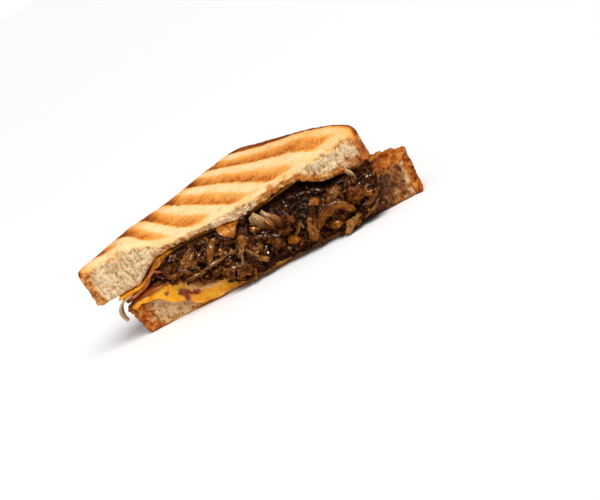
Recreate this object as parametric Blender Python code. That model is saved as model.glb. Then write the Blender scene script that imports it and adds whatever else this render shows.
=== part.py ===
"""Half of a grilled pork melt sandwich, cut corner to corner, lying on its bottom slice.

Frame: metres, +Z up, the cut face looks along -Y, +X runs along the cut.
The sandwich is laid out with the cut plane at Y = 0, and is centred over the origin at the end.
"""

import math
import random

import bmesh
import bpy
from mathutils import Matrix, Vector
from mathutils.bvhtree import BVHTree

MM = 0.001

# Driving sizes of the bread
SLICE_SIDE = 119 * MM  # side of the square loaf slice
CORNER_RADIUS = 12 * MM
TOTAL_HEIGHT = 47 * MM
BOTTOM_SHIFT = 8 * MM  # the two slices have slid apart along the cut
TOP_SHIFT = -8 * MM
EDGE_ROUND = 2 * MM  # how far the crust stands out past the rim of each face
UNDERCUT = 0.965  # the bottom slice is a little smaller at its underside
TIP_REACH = 4.5 * MM  # the bottom slice's left end is drawn out

# How the bread is squeezed over the filling
BOTTOM_SEAM = (16.4 * MM, 22.4 * MM)  # upper rim of the bottom slice, at the left and at the right
TOP_SEAM = (24 * MM, 26 * MM)  # lower rim of the top slice
SQUEEZE_REACH = 24 * MM  # distance from the crust over which a slice thins
BOTTOM_SQUEEZE = 6 * MM
TOP_SQUEEZE = 5 * MM
CUT_FADE = 12 * MM  # how fast the pinch at the cut fades inwards
BOTTOM_PINCH = 6 * MM
TOP_PINCH = 3.5 * MM
TOP_SAG = 4 * MM  # the inner face hangs lower in the middle of the cut
EDGE_PRESS = 10 * MM  # the grilled face is pressed down along the cut
PRESS_REACH = (11 * MM, 30 * MM)  # how far in, near the tips and along the middle
PRESS_SHAPE = 1.5

# Grill ridges
GRILL_PITCH = 15.7 * MM
GRILL_FIRST = 12 * MM  # middle of the first whole mark, from the right-hand crust
GRILL_DEPTH = 0.5 * MM
GRILL_MARGIN = 13 * MM
GRILL_ANGLE = math.radians(41)

# Fillings
GAP = 0.5 * MM  # clearance between layers
CHEESE_THICK = 1.7 * MM
TOP_CHEESE_THICK = 1.1 * MM
TOP_CHEESE_INSET = 12 * MM  # along Y, from the rim of the top slice
BACON_THICK = 1.6 * MM
BEND_RADIUS = 0.8 * MM  # inside radius where a sheet folds over an edge
DROOP_LENGTH = 24 * MM  # larger droops less, where a sheet sticks out past the crust
CHEESE_CORNER = 47 * MM  # x of the cheese corner that sticks out
BACON_LEAN = 0.1  # sideways run of the long strip towards the back
MELT_BEND = 4 * MM  # middle radius of the soft bend in the melted cheese
PORK_CLEARANCE = 0.35 * MM  # the loose shreds stay this far from their neighbours
PLACING_TRIES = 40
NEAR_PLACE = 5 * MM  # the showing pieces are spread out to this evenly
FACING = 0.15  # how squarely a face must look outwards to carry a piece
LOWEST_FOOD = 0.4 * MM  # nothing but the bottom slice touches the floor
SEED = 23

SHEET_FOLD = (BEND_RADIUS + CHEESE_THICK / 2) * math.pi / 2  # length of sheet in one fold
HALF_CUT = SLICE_SIDE * math.sqrt(2) / 2  # sharp corner to the middle of the cut

FINISHES = {
    "toasted_bread": ((0.72, 0.47, 0.22), 0.85),
    "dark_bread": ((0.45, 0.24, 0.10), 0.85),
    "cheddar": ((0.93, 0.52, 0.06), 0.35),
    "bacon": ((0.42, 0.13, 0.08), 0.45),
    "pork": ((0.28, 0.14, 0.07), 0.40),
    "onion": ((0.78, 0.68, 0.45), 0.30),
}


def finish_material(name):
    """The named finish, made once."""
    found = bpy.data.materials.get(name)
    if found:
        return found
    colour, roughness = FINISHES[name]
    made = bpy.data.materials.new(name)
    made.use_nodes = True
    shader = made.node_tree.nodes["Principled BSDF"]
    shader.inputs["Base Color"].default_value = (*colour, 1)
    shader.inputs["Roughness"].default_value = roughness
    shader.inputs["Metallic"].default_value = 0
    return made


def add_object(name, work, finish):
    """Turns a bmesh into an object with smooth faces facing out."""
    bmesh.ops.recalc_face_normals(work, faces=work.faces)
    if work.calc_volume(signed=True) < 0:
        bmesh.ops.reverse_faces(work, faces=work.faces)
    for face in work.faces:
        face.smooth = True
    mesh = bpy.data.meshes.new(name)
    work.to_mesh(mesh)
    work.free()
    mesh.materials.append(finish_material(finish))
    piece = bpy.data.objects.new(name, mesh)
    bpy.context.scene.collection.objects.link(piece)
    return piece


# Curves that shape the layers


def ease(start, end, value):
    """0 before start, 1 after end, smooth between."""
    share = min(max((value - start) / (end - start), 0), 1)
    return share * share * (3 - 2 * share)


def window(left, right, soft, value):
    """1 between left and right, falling smoothly to 0 over the soft distance outside."""
    return ease(left - soft, left, value) * (1 - ease(right, right + soft, value))


def hump(centre, width, value):
    return math.exp(-(((value - centre) / width) ** 2))


def crust_distance(x, y, shift):
    """How far inside the two crust sides of a slice a point is."""
    return (HALF_CUT - abs(x - shift) - y) / math.sqrt(2)


def fade(y):
    """1 at the cut, falling off inwards."""
    return math.exp(-max(y, 0) / CUT_FADE)


def bottom_open(x):
    """Where the bottom slice gives way to the filling at the cut."""
    return ease(-52 * MM, -26 * MM, x) * (1 - ease(46 * MM, 76 * MM, x))


def top_open(x):
    """Where the top slice gives way to the filling at the cut."""
    return ease(-64 * MM, -44 * MM, x) * (1 - ease(30 * MM, 48 * MM, x))


def bottom_upper(x, y):
    """Inner face of the bottom slice."""
    inward = ease(0, SQUEEZE_REACH, crust_distance(x, y, BOTTOM_SHIFT))
    opened = 1 - (1 - bottom_open(x)) * fade(y)
    low, high = BOTTOM_SEAM
    seam = low + (high - low) * ease(-75 * MM, 40 * MM, x)
    return seam - BOTTOM_SQUEEZE * inward * opened - BOTTOM_PINCH * bottom_open(x) * fade(y)


def top_lower(x, y):
    """Inner face of the top slice."""
    inward = ease(0, SQUEEZE_REACH, crust_distance(x, y, TOP_SHIFT))
    opened = 1 - (1 - top_open(x)) * fade(y)
    sag = TOP_SAG * hump(2 * MM, 20 * MM, x)
    low, high = TOP_SEAM
    seam = low + (high - low) * ease(-80 * MM, 0, x)
    return seam + TOP_SQUEEZE * inward * opened + (TOP_PINCH * top_open(x) - sag) * fade(y)


def grill_mark(x, y):
    """0 on the pale bread between two marks, 1 in the middle of a mark."""
    across = (HALF_CUT - x + TOP_SHIFT) * math.sin(GRILL_ANGLE) - y * math.cos(GRILL_ANGLE)
    return 0.5 + 0.5 * math.cos(2 * math.pi * (across - GRILL_FIRST) / GRILL_PITCH)


def top_upper(x, y):
    """Grilled face of the top slice."""
    pressed = ease(-64 * MM, -34 * MM, x) * (1 - 0.45 * ease(20 * MM, 64 * MM, x))
    droop = 1.5 * MM * (1 - ease(-86 * MM, -58 * MM, x))
    near, far = PRESS_REACH
    reach = near + (far - near) * ease(-75 * MM, -45 * MM, x) * (1 - ease(5 * MM, 45 * MM, x))
    press = EDGE_PRESS * pressed * math.exp(-((max(y, 0) / reach) ** PRESS_SHAPE))
    groove = GRILL_DEPTH * grill_mark(x, y) * ease(1 * MM, GRILL_MARGIN, crust_distance(x, y, TOP_SHIFT))
    return TOTAL_HEIGHT - press - droop - groove


# Plans: columns of (place, outward direction) that the layers are laid out on


def crust_outline(inset, steps):
    """A slice's crust side from the left tip round to the right tip."""
    radius = CORNER_RADIUS - inset
    reach = HALF_CUT - inset * math.sqrt(2) - radius * math.sqrt(2)
    points = []
    for degrees in (168, 152, 135):
        turn = Vector((math.cos(math.radians(degrees)), math.sin(math.radians(degrees))))
        points.append((Vector((-reach, 0)) + radius * turn, turn))
    side = Vector((-1, 1)).normalized()
    start = points[-1][0]
    end = Vector((0, reach)) + radius * side
    points += [(start.lerp(end, n / steps), side) for n in range(1, steps + 1)]
    for degrees in (112, 90):
        turn = Vector((math.cos(math.radians(degrees)), math.sin(math.radians(degrees))))
        points.append((Vector((0, reach)) + radius * turn, turn))
    mirrored = [(Vector((-p.x, p.y)), Vector((-out.x, out.y))) for p, out in reversed(points[:-1])]
    return points + mirrored


def slice_plan(shift, steps, rows):
    """Columns from the cut to the crust, with the rows closer together near the cut."""
    columns = []
    outline = crust_outline(EDGE_ROUND, steps)
    for number, (rim, out) in enumerate(outline):
        side = Vector((0, 0))
        if number == 0:
            side = Vector((-1, 0))
        if number == len(outline) - 1:
            side = Vector((1, 0))
        column = []
        for row in range(rows + 1):
            place = Vector((rim.x + shift, rim.y * (row / rows) ** 1.2))
            column.append((place, out if row == rows else side))
        columns.append(column)
    return columns


def row_places(start, end, inner, fold):
    """Rows from start to end, close together where a sheet folds over the edge at 0."""
    inside = max(0, start + 2 * MM)
    folding = max(-fold, start + 1 * MM)
    rows = [start, (start + folding) / 2]
    rows += [folding + (inside - folding) * n / 4 for n in range(4)]
    rows += [inside + (end - inside) * (n / inner) ** 1.2 for n in range(inner + 1)]
    return rows


def strip_plan(stations, front, back, inner, fold):
    """Columns between two edges that are given as functions of x."""
    columns = []
    for number, x in enumerate(stations):
        side = 0
        if number == 0:
            side = -1
        if number == len(stations) - 1:
            side = 1
        column = []
        rows = row_places(front(x), back(x), inner, fold)
        for y in rows:
            ahead = 0
            if y == rows[0]:
                ahead = -1
            if y == rows[-1]:
                ahead = 1
            column.append((Vector((x, y)), Vector((side, ahead)).normalized()))
        columns.append(column)
    return columns


def between(start, end, count):
    return [start + (end - start) * n / count for n in range(count + 1)]


# Solids


def shell(name, plan, upper, lower, rim, finish, flat_under=False):
    """A closed solid between two faces over one plan.

    rim lists (share of the depth, distance outward) for the rings round its side.
    """
    columns = len(plan)
    rows = len(plan[0])
    work = bmesh.new()
    verts = {}
    loop = [(i, 0) for i in range(columns)]
    loop += [(columns - 1, j) for j in range(1, rows)]
    loop += [(i, rows - 1) for i in range(columns - 2, -1, -1)]
    loop += [(0, j) for j in range(rows - 2, 0, -1)]
    for i in range(columns):
        for j in range(rows):
            verts["upper", i, j] = work.verts.new(upper(*plan[i][j][0]))
            if (i, j) in loop or not flat_under:
                verts["lower", i, j] = work.verts.new(lower(*plan[i][j][0]))
    for i in range(columns - 1):
        for j in range(rows - 1):
            corners = ((i, j), (i + 1, j), (i + 1, j + 1), (i, j + 1))
            work.faces.new([verts["upper", *c] for c in corners])
            if not flat_under:
                work.faces.new([verts["lower", *c] for c in reversed(corners)])
    if flat_under:
        work.faces.new([verts["lower", *c] for c in reversed(loop)])
    rings = [[verts["upper", *c] for c in loop]]
    for share, distance in rim:
        ring = []
        for i, j in loop:
            middle = verts["upper", i, j].co.lerp(verts["lower", i, j].co, share)
            ring.append(work.verts.new(middle + plan[i][j][1].to_3d() * distance))
        rings.append(ring)
    rings.append([verts["lower", *c] for c in loop])
    for above, below in zip(rings, rings[1:]):
        for n in range(len(loop)):
            m = (n + 1) % len(loop)
            work.faces.new((above[n], below[n], below[m], above[m]))
    return add_object(name, work, finish)


def level(height):
    """Turns a height function into the surface function that shell takes."""
    return lambda x, y: Vector((x, y, height(x, y)))


def make_bread():
    def underside(x, y):
        return Vector((BOTTOM_SHIFT + (x - BOTTOM_SHIFT) * UNDERCUT, y * UNDERCUT, 0))

    rim = ((0.1, 0.7 * EDGE_ROUND), (0.5, EDGE_ROUND), (0.9, 0.7 * EDGE_ROUND))
    plan = slice_plan(BOTTOM_SHIFT, 15, 10)
    bottom = shell("bottom_bread", plan, level(bottom_upper), underside, rim, "dark_bread", True)
    for vert in bottom.data.vertices:
        vert.co.x -= TIP_REACH * (1 - ease(-80 * MM, -44 * MM, vert.co.x))
    plan = slice_plan(TOP_SHIFT, 15, 12)
    shell("top_bread", plan, level(top_upper), level(top_lower), rim, "toasted_bread")


def draped(x, y, lift):
    """A point of a sheet on the bottom slice, lift above it, folded down over the cut.

    Past a crust side it sticks out and droops.
    """
    height = bottom_upper(x, y) + lift
    past_crust = -crust_distance(x, y, BOTTOM_SHIFT)
    if past_crust > 0:
        height -= past_crust**2 / DROOP_LENGTH
    if y >= 0:
        return Vector((x, y, height))
    middle = BEND_RADIUS + CHEESE_THICK / 2
    turn = min(-y / middle, math.pi / 2)
    drop = max(-y - middle * math.pi / 2, 0)
    reach = BEND_RADIUS - GAP + lift
    edge_height = bottom_upper(x, 0) + GAP - BEND_RADIUS
    z = edge_height + reach * math.cos(turn) - drop
    return Vector((x, -reach * math.sin(turn), z))


def hang_length(x, lowest):
    """Length of sheet from the cut edge down to a height at the cut face."""
    return bottom_upper(x, 0) - lowest + SHEET_FOLD / 2


def cheese_front(x):
    """How far the bottom cheese hangs over the cut, measured along the sheet."""
    left_edge = 14.5 * MM - 13 * MM * ease(-58 * MM, -40 * MM, x)
    lowest = max(left_edge + 0.8 * MM * math.sin(x / (2.7 * MM)), 0)
    lowest += 9 * MM * ease(10 * MM, 24 * MM, x)
    recede = ease(26 * MM, 44 * MM, x)
    return -hang_length(x, lowest) * (1 - recede) + 7 * MM * recede


def cheese_back(x):
    """The cheese stops just inside the crust, but for one square corner that sticks out."""
    rim = HALF_CUT - abs(x - BOTTOM_SHIFT) - 4 * MM
    corner = max(0, 1 - abs(x - CHEESE_CORNER) / (13 * MM))
    return rim + 17 * MM * corner


def make_bottom_cheese():
    shell(
        "bottom_cheese",
        strip_plan(between(-67 * MM, 66 * MM, 28), cheese_front, cheese_back, 6, SHEET_FOLD),
        lambda x, y: draped(x, y, GAP + CHEESE_THICK),
        lambda x, y: draped(x, y, GAP),
        (),
        "cheddar",
    )


def top_cheese_drip(x):
    """Length of the melted run that hangs from the top cheese at the cut."""
    return 11 * MM * hump(-8 * MM, 6 * MM, x)


def top_cheese_sheet(x, y, lift):
    """A point of the sheet under the top slice, lift below its inner face, folded down at the cut."""
    if y >= 0:
        return Vector((x, y, top_lower(x, y) - lift))
    turn = min(-y / MELT_BEND, math.pi / 2)
    drop = max(-y - MELT_BEND * math.pi / 2, 0)
    reach = MELT_BEND + TOP_CHEESE_THICK / 2 + GAP - lift
    start = top_lower(x, 0) - GAP - TOP_CHEESE_THICK / 2 - MELT_BEND
    return Vector((x, -reach * math.sin(turn), start + reach * math.cos(turn) - drop))


def make_top_cheese():
    """A melted slice under the top bread, with runs that hang down at the cut."""

    def front(x):
        return 1.6 * MM - 2.4 * MM * (1 - ease(-66 * MM, -58 * MM, x)) - top_cheese_drip(x)

    def back(x):
        return HALF_CUT - abs(x - TOP_SHIFT) - TOP_CHEESE_INSET

    stations = between(-76 * MM, -18 * MM, 13) + between(-15 * MM, -3 * MM, 5) + between(0, 56 * MM, 12)
    shell(
        "top_cheese",
        strip_plan(stations, front, back, 4, MELT_BEND * math.pi / 2),
        lambda x, y: top_cheese_sheet(x, y, GAP),
        lambda x, y: top_cheese_sheet(x, y, GAP + TOP_CHEESE_THICK),
        (),
        "cheddar",
    )


# Bacon: one strip lies along the cut at the left, one runs from the cut to the back and hangs over it


def bacon_ripple(x, y):
    return 0.3 * MM * (1 + math.sin(x / (4.1 * MM) + y / (9 * MM)))


def make_bacon():
    lift = 2 * GAP + CHEESE_THICK

    def along_front(x):
        return 0.2 * MM + 0.5 * MM * math.sin(x / (5 * MM))

    def along_back(x):
        rim = HALF_CUT - abs(x - BOTTOM_SHIFT) - 6 * MM
        return min(rim, 25 * MM)

    def laid(x, y, more):
        place = draped(x, y, lift + more)
        place.z += bacon_ripple(x, y)
        return place

    shell(
        "bacon_left",
        strip_plan(between(-66 * MM, -27 * MM, 10), along_front, along_back, 4, SHEET_FOLD),
        lambda x, y: laid(x, y, BACON_THICK),
        lambda x, y: laid(x, y, 0),
        (),
        "bacon",
    )

    def through_front(x):
        return -hang_length(x, 1.6 * MM + 0.8 * MM * math.sin(x / (4 * MM)))

    def through_back(x):
        return 74 * MM - 0.15 * x

    def leaning(x, y, more):
        return laid(x + BACON_LEAN * max(y, 0), y, more)

    shell(
        "bacon_through",
        strip_plan(between(-20 * MM, 4 * MM, 6), through_front, through_back, 13, SHEET_FOLD),
        lambda x, y: leaning(x, y, BACON_THICK),
        lambda x, y: leaning(x, y, 0),
        (),
        "bacon",
    )


# Onion: pieces that are cooked soft and translucent


def make_petal(name, middle, along, out, size, bow):
    """A cupped piece of onion. size is (length, width, thickness), bow how far its middle stands out."""
    length, width, thick = size
    side = along.cross(out).normalized()

    def skin(offset):
        def place(u, v):
            half_width = 0.5 * width * math.sqrt(1 - 0.75 * u * u)
            stand = bow * (1 - u * u) + 0.3 * width * (1 - v * v) - 0.3 * width + offset
            return middle + along * u * length / 2 + side * v * half_width + out * stand

        return place

    plan = [[(Vector((u, v)), Vector((0, 0))) for v in between(-1, 1, 4)] for u in between(-1, 1, 8)]
    shell(name, plan, skin(thick / 2), skin(-thick / 2), (), "onion")


def make_onion():
    out = Vector((0, -1, 0))
    # (x, y, z, length) in mm, lean
    petals = ((9.2, -8.8, 22.4, 9, 0), (13.6, -8.4, 22, 10.5, 0), (18.2, -8.5, 20.2, 9.6, 0.2))
    for number, (x, y, z, length, lean) in enumerate(petals):
        middle = Vector((x * MM, y * MM, z * MM))
        down = Vector((lean, 0, -1)).normalized()
        size = (length * MM, 3.3 * MM, 1.1 * MM)
        make_petal(f"onion_petal_{number + 1}", middle, down, out, size, 0.8 * MM)
    # the strip that hangs over the left tip, as (x, z) in mm
    path = [(-67.5, 21.5), (-71.5, 21.3), (-75.2, 20.5), (-77.4, 18.5), (-78.4, 15.9), (-78.4, 13.4), (-77.6, 11)]
    last = len(path) - 1
    thick = 1.4 * MM

    def skin(offset):
        def place(n, y):
            here = Vector(path[int(n)])
            ahead = Vector(path[min(int(n) + 1, last)]) - Vector(path[max(int(n) - 1, 0)])
            normal = Vector((ahead.y, -ahead.x)).normalized()
            spot = here * MM + normal * (offset + 0.02 * y)
            return Vector((spot.x, y, spot.y))

        return place

    across = between(-2.5 * MM, 5 * MM, 4)
    plan = [[(Vector((n, y)), Vector((0, 0))) for y in across] for n in range(last + 1)]
    shell("onion_end", plan, skin(thick / 2), skin(-thick / 2), (), "onion")


# Pork: a solid heap with shreds and chunks fused over its showing sides


def bacon_cover(x, y):
    """1 where a bacon strip lies under the pork, 0 clear of it."""
    lean_x = x - BACON_LEAN * max(y, 0)
    along = window(-67 * MM, -24 * MM, 6 * MM, x) * (1 - ease(27 * MM, 33 * MM, y))
    return max(along, window(-24 * MM, 8 * MM, 7 * MM, lean_x))


def pork_floor(x, y):
    bacon = BACON_THICK + 0.6 * MM + GAP
    return bottom_upper(x, max(y, 0)) + 2 * GAP + CHEESE_THICK + bacon * bacon_cover(x, y)


def pork_ceiling(x, y):
    """Just under the top cheese, or under the bare bread past the cheese's back edge."""
    from_rim = HALF_CUT - abs(x - TOP_SHIFT) - y
    covered = ease(TOP_CHEESE_INSET - 3 * MM, TOP_CHEESE_INSET - 0.5 * MM, from_rim)
    return top_lower(x, max(y, 0)) - GAP - (TOP_CHEESE_THICK + GAP) * covered


def read_curve(table, x):
    """Straight-line reading of a table of (x, value) in millimetres."""
    x /= MM
    for (x0, v0), (x1, v1) in zip(table, table[1:]):
        if x <= x1:
            return (v0 + (v1 - v0) * max(x - x0, 0) / (x1 - x0)) * MM
    return table[-1][1] * MM


# (x, height of the heap's lower edge at the cut), in mm
PORK_HANG = (
    (-56, 22.5),
    (-50, 20.5),
    (-42, 17),
    (-36, 10),
    (-28, 6),
    (-20, 4),
    (-8, 3),
    (8, 1.5),
    (56, 1),
    (64, 4),
    (70, 13),
)
# (x, how far the heap stands out of the cut), in mm
PORK_BULGE = (
    (-56, 1.2),
    (-50, 2.5),
    (-42, 5),
    (-30, 6.5),
    (-15, 7.5),
    (0, 7.2),
    (6, 6.4),
    (18, 6.6),
    (28, 7.5),
    (50, 7.5),
    (62, 6),
    (70, 3),
)
# Outlines of the side clumps: (distance out of the crust, height over the pork's floor), in mm
RIGHT_CLUMP = (
    (-24, 4),
    (-10.5, 4),
    (-9, 5),
    (-2, 5.5),
    (3.5, 4),
    (7, 0.5),
    (8, -5),
    (6.5, -9),
    (3.6, -8),
    (3.2, -1),
    (1.5, 0.5),
    (-10, 0.4),
    (-24, 0.4),
)
LEFT_CLUMP = (
    (-18, 5),
    (-4, 5),
    (3, 5),
    (4.5, 0.5),
    (4, -2.5),
    (2.8, -2),
    (2.4, 0.4),
    (-4, 0.4),
    (-18, 0.4),
)


def front_section(x):
    """Outline of the heap at the cut, as (distance out of the cut, height)."""
    top = pork_ceiling(x, 0) - 0.4 * MM
    floor = pork_floor(x, 0)
    low = min(read_curve(PORK_HANG, x), floor - 0.2 * MM)
    bulge = read_curve(PORK_BULGE, x) + 0.6 * MM * math.sin(x / (3.3 * MM))
    back = min(3.2 * MM + 2.2 * MM * window(-21 * MM, 5 * MM, 3 * MM, x), 0.8 * bulge)
    depth = top - low
    inner = max(floor - 2 * MM, low + 0.1 * MM)
    tuck = min(top_cheese_drip(x) / (5 * MM), 1)
    return [
        (-6 * MM, pork_ceiling(x, 6 * MM) - 0.3 * MM),
        (0, top),
        (0.6 * bulge * (1 - 0.7 * tuck), top - (0.08 + 0.1 * tuck) * depth),
        (bulge * (1 - 0.62 * tuck), top - 0.3 * depth),
        (bulge, top - 0.65 * depth),
        (0.85 * bulge, low + 0.12 * depth),
        (max(0.6 * bulge, back), low),
        (back, low + 0.05 * MM),
        (back, inner),
        (0.4 * back, floor + 0.2 * MM),
        (-6 * MM, pork_floor(x, 6 * MM) + 0.3 * MM),
    ]


def loft(name, stations):
    """A closed solid through outlines, each given as (origin, outward direction, outline)."""
    work = bmesh.new()
    rings = []
    for origin, out, outline in stations:
        rings.append([work.verts.new((*(origin + out * far), height)) for far, height in outline])
    for left, right in zip(rings, rings[1:]):
        for n in range(len(left)):
            m = (n + 1) % len(left)
            work.faces.new((left[n], left[m], right[m], right[n]))
    work.faces.new(rings[0])
    work.faces.new(list(reversed(rings[-1])))
    return add_object(name, work, "pork")


def side_clump(name, middle_x, half_length, outline):
    """A clump of the heap that comes out between the slices at a crust side of the bottom slice.

    Past the crust its heights count from the floor at the crust.
    """
    sign = math.copysign(1, middle_x - BOTTOM_SHIFT)
    out = Vector((sign, 1)).normalized()
    along = Vector((-sign, 1)).normalized()
    middle = Vector((middle_x, HALF_CUT - abs(middle_x - BOTTOM_SHIFT)))
    stations = []
    for n in range(7):
        share = -1 + n / 3
        origin = middle + along * half_length * share
        size = math.sqrt(1 - 0.8 * share**2)
        section = []
        for far, height in outline:
            outside = far > 0
            reach = far * MM * (size if outside else 1)
            place = origin + out * reach
            z = pork_floor(*(origin if outside else place)) + height * MM * size
            if crust_distance(*place, TOP_SHIFT) > -1 * MM:
                z = min(z, pork_ceiling(*place) - 0.2 * MM)
            section.append((reach, z))
        stations.append((origin, out, section))
    return loft(name, stations)


def add_shred(work, tree, middle, heading, draw):
    """One shred that follows the surface in tree, its ends a little lifted."""
    steps = 4
    sides = 5
    length = draw.uniform(10, 21) * MM
    width = draw.uniform(2, 3.6) * MM
    thick = draw.uniform(1.6, 2.4) * MM
    place = middle - heading * length / 2
    spine = []
    for n in range(steps + 1):
        near, normal, _, _ = tree.find_nearest(place)
        heading = (heading - normal * heading.dot(normal)).normalized()
        end = abs(n / steps - 0.5) * 2
        lift = 0.55 * thick + 1.4 * MM * end**2 * draw.random()
        spine.append((near + normal * lift, normal, heading))
        turn = Matrix.Rotation(draw.uniform(-0.25, 0.25), 3, normal)
        heading = turn @ heading
        place = near + heading * length / steps
    rings = []
    for n in range(1, steps):
        middle, normal, ahead = spine[n]
        side = ahead.cross(normal).normalized()
        wide = 0.5 * width * draw.uniform(0.8, 1.1)
        high = 0.5 * thick
        ring = []
        for k in range(sides):
            angle = 2 * math.pi * k / sides
            place = middle + side * wide * math.cos(angle) + normal * high * math.sin(angle)
            ring.append(work.verts.new(place))
        rings.append(ring)
    first = work.verts.new(spine[0][0])
    last = work.verts.new(spine[-1][0])
    for k in range(sides):
        m = (k + 1) % sides
        for left, right in zip(rings, rings[1:]):
            work.faces.new((left[k], left[m], right[m], right[k]))
        work.faces.new((first, rings[0][m], rings[0][k]))
        work.faces.new((rings[-1][k], rings[-1][m], last))


def add_chunk(work, place, normal, draw, size):
    """One lump of meat, half sunk in the surface."""
    made = bmesh.ops.create_icosphere(work, subdivisions=2, radius=0.5)["verts"]
    spin = normal.to_track_quat("Z", "Y").to_matrix() @ Matrix.Rotation(draw.uniform(0, math.pi), 3, "Z")
    stretch = Matrix.Diagonal((size, size * draw.uniform(0.55, 0.8), size * draw.uniform(0.4, 0.6)))
    for vert in made:
        rough = draw.uniform(0.88, 1.1)
        vert.co = place + spin @ (stretch @ (vert.co * rough))


def surface_place(piece, draw, out, near_x):
    """A random place near an x on the faces of a piece that look roughly outwards, spread by area."""
    mesh = piece.data
    mesh.calc_loop_triangles()
    weights = [triangle.area for triangle in mesh.loop_triangles]
    while True:
        triangle = draw.choices(mesh.loop_triangles, weights)[0]
        points = [mesh.vertices[n].co for n in triangle.vertices]
        u, v = sorted((draw.random(), draw.random()))
        place = points[0] * u + points[1] * (v - u) + points[2] * (1 - v)
        if triangle.normal.dot(out) > FACING and abs(place.x - near_x) < NEAR_PLACE:
            return place, triangle.normal.copy()


def swollen_tree(piece, by):
    """A search tree of a piece with every point moved out along its normal."""
    mesh = piece.data
    places = [vert.co + vert.normal * by for vert in mesh.vertices]
    return BVHTree.FromPolygons(places, [face.vertices[:] for face in mesh.polygons])


def fits(work, rooms):
    """True where a loose piece stays clear of the neighbours and of the floor."""
    if min(vert.co.z for vert in work.verts) < LOWEST_FOOD:
        return False
    tree = BVHTree.FromBMesh(work)
    return not any(tree.overlap(room) for room in rooms)


def join(piece, others):
    """Joins the others to a piece with one Boolean union, and removes them."""
    group = bpy.data.collections.new("joined")
    bpy.context.scene.collection.children.link(group)
    for other in others:
        bpy.context.scene.collection.objects.unlink(other)
        group.objects.link(other)
    step = piece.modifiers.new("union", "BOOLEAN")
    step.operation = "UNION"
    step.solver = "MANIFOLD"
    step.operand_type = "COLLECTION"
    step.collection = group
    bpy.context.view_layer.update()
    seen = piece.evaluated_get(bpy.context.evaluated_depsgraph_get())
    joined = bpy.data.meshes.new_from_object(seen)
    piece.modifiers.clear()
    piece.data = joined
    for other in others:
        bpy.data.objects.remove(other)
    bpy.data.collections.remove(group)


def keep_largest(piece):
    """Fills sealed hollows and drops loose scraps, by keeping only the largest skin."""
    work = bmesh.new()
    work.from_mesh(piece.data)
    bmesh.ops.triangulate(work, faces=work.faces)
    skins = []
    left = set(work.faces)
    while left:
        stack = [left.pop()]
        skin = set(stack)
        while stack:
            for edge in stack.pop().edges:
                for face in edge.link_faces:
                    if face in left and len(edge.link_faces) == 2:
                        left.remove(face)
                        skin.add(face)
                        stack.append(face)
        skins.append(skin)
    skins.sort(key=len)
    for skin in skins[:-1]:
        bmesh.ops.delete(work, geom=list(skin), context="FACES")
    work.to_mesh(piece.data)
    work.free()


def make_pork(neighbours):
    draw = random.Random(SEED)
    cut_out = Vector((0, -1))
    stations = [(Vector((x, 0)), cut_out, front_section(x)) for x in between(-56 * MM, 70 * MM, 25)]
    front = loft("pulled_pork", stations)
    clump = side_clump("pork_clump_right", 27 * MM, 8 * MM, RIGHT_CLUMP)
    small_clump = side_clump("pork_clump_left", -26 * MM, 7 * MM, LEFT_CLUMP)

    def body_back(x):
        bottom_rim = HALF_CUT - abs(x - BOTTOM_SHIFT)
        top_rim = HALF_CUT - abs(x - TOP_SHIFT)
        return max(min(bottom_rim - 12 * MM, top_rim - 14 * MM), 9 * MM)

    body = shell(
        "pork_body",
        strip_plan(between(-46 * MM, 52 * MM, 18), lambda x: 4 * MM, body_back, 6, SHEET_FOLD),
        level(lambda x, y: pork_ceiling(x, y) - 0.7 * MM),
        level(lambda x, y: pork_floor(x, y) + 0.7 * MM),
        (),
        "pork",
    )
    rooms = [swollen_tree(piece, PORK_CLEARANCE) for piece in neighbours]
    pieces = []
    for host, shreds, chunks in ((front, 42, 7), (clump, 6, 1), (small_clump, 3, 0)):
        host_tree = BVHTree.FromObject(host, bpy.context.evaluated_depsgraph_get())
        out = cut_out.to_3d() if host is front else Vector((0, 1, 0))
        kinds = [True] * chunks + [False] * shreds
        draw.shuffle(kinds)
        low_x = min(vert.co.x for vert in host.data.vertices)
        high_x = max(vert.co.x for vert in host.data.vertices)
        for number, is_chunk in enumerate(kinds):
            here = low_x + (high_x - low_x) * (number + 0.5) / len(kinds)
            for _ in range(PLACING_TRIES):
                place, normal = surface_place(host, draw, out, here)
                work = bmesh.new()
                if is_chunk:
                    add_chunk(work, place, normal, draw, draw.uniform(6.5, 10) * MM)
                else:
                    lean = draw.gauss(-0.7, 0.6)
                    heading = Vector((math.cos(lean), 0, math.sin(lean)))
                    if host is not front:
                        heading = Vector((draw.uniform(-1, 1), draw.uniform(-1, 1), draw.uniform(-1, 0)))
                    add_shred(work, host_tree, place, heading.normalized(), draw)
                if fits(work, rooms):
                    pieces.append(add_object("pork_piece", work, "pork"))
                    break
                work.free()
    join(front, [body, clump, small_clump] + pieces)
    keep_largest(front)


def centre_all():
    """Moves everything so that the middle of the underside of its box is the origin."""
    bpy.context.view_layer.update()
    corners = [vert.co for piece in bpy.data.objects for vert in piece.data.vertices]
    middle_x = (min(c.x for c in corners) + max(c.x for c in corners)) / 2
    middle_y = (min(c.y for c in corners) + max(c.y for c in corners)) / 2
    for piece in bpy.data.objects:
        piece.data.transform(Matrix.Translation((-middle_x, -middle_y, 0)))


def start_scene():
    for old in list(bpy.data.objects):
        bpy.data.objects.remove(old)


def main():
    start_scene()
    make_bread()
    make_bottom_cheese()
    make_top_cheese()
    make_bacon()
    make_onion()
    make_pork(list(bpy.data.objects))
    centre_all()


main()
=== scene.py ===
import math
import random

import bmesh
import bpy
import numpy as np
from mathutils import Matrix, Vector
from mathutils.bvhtree import BVHTree


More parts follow.
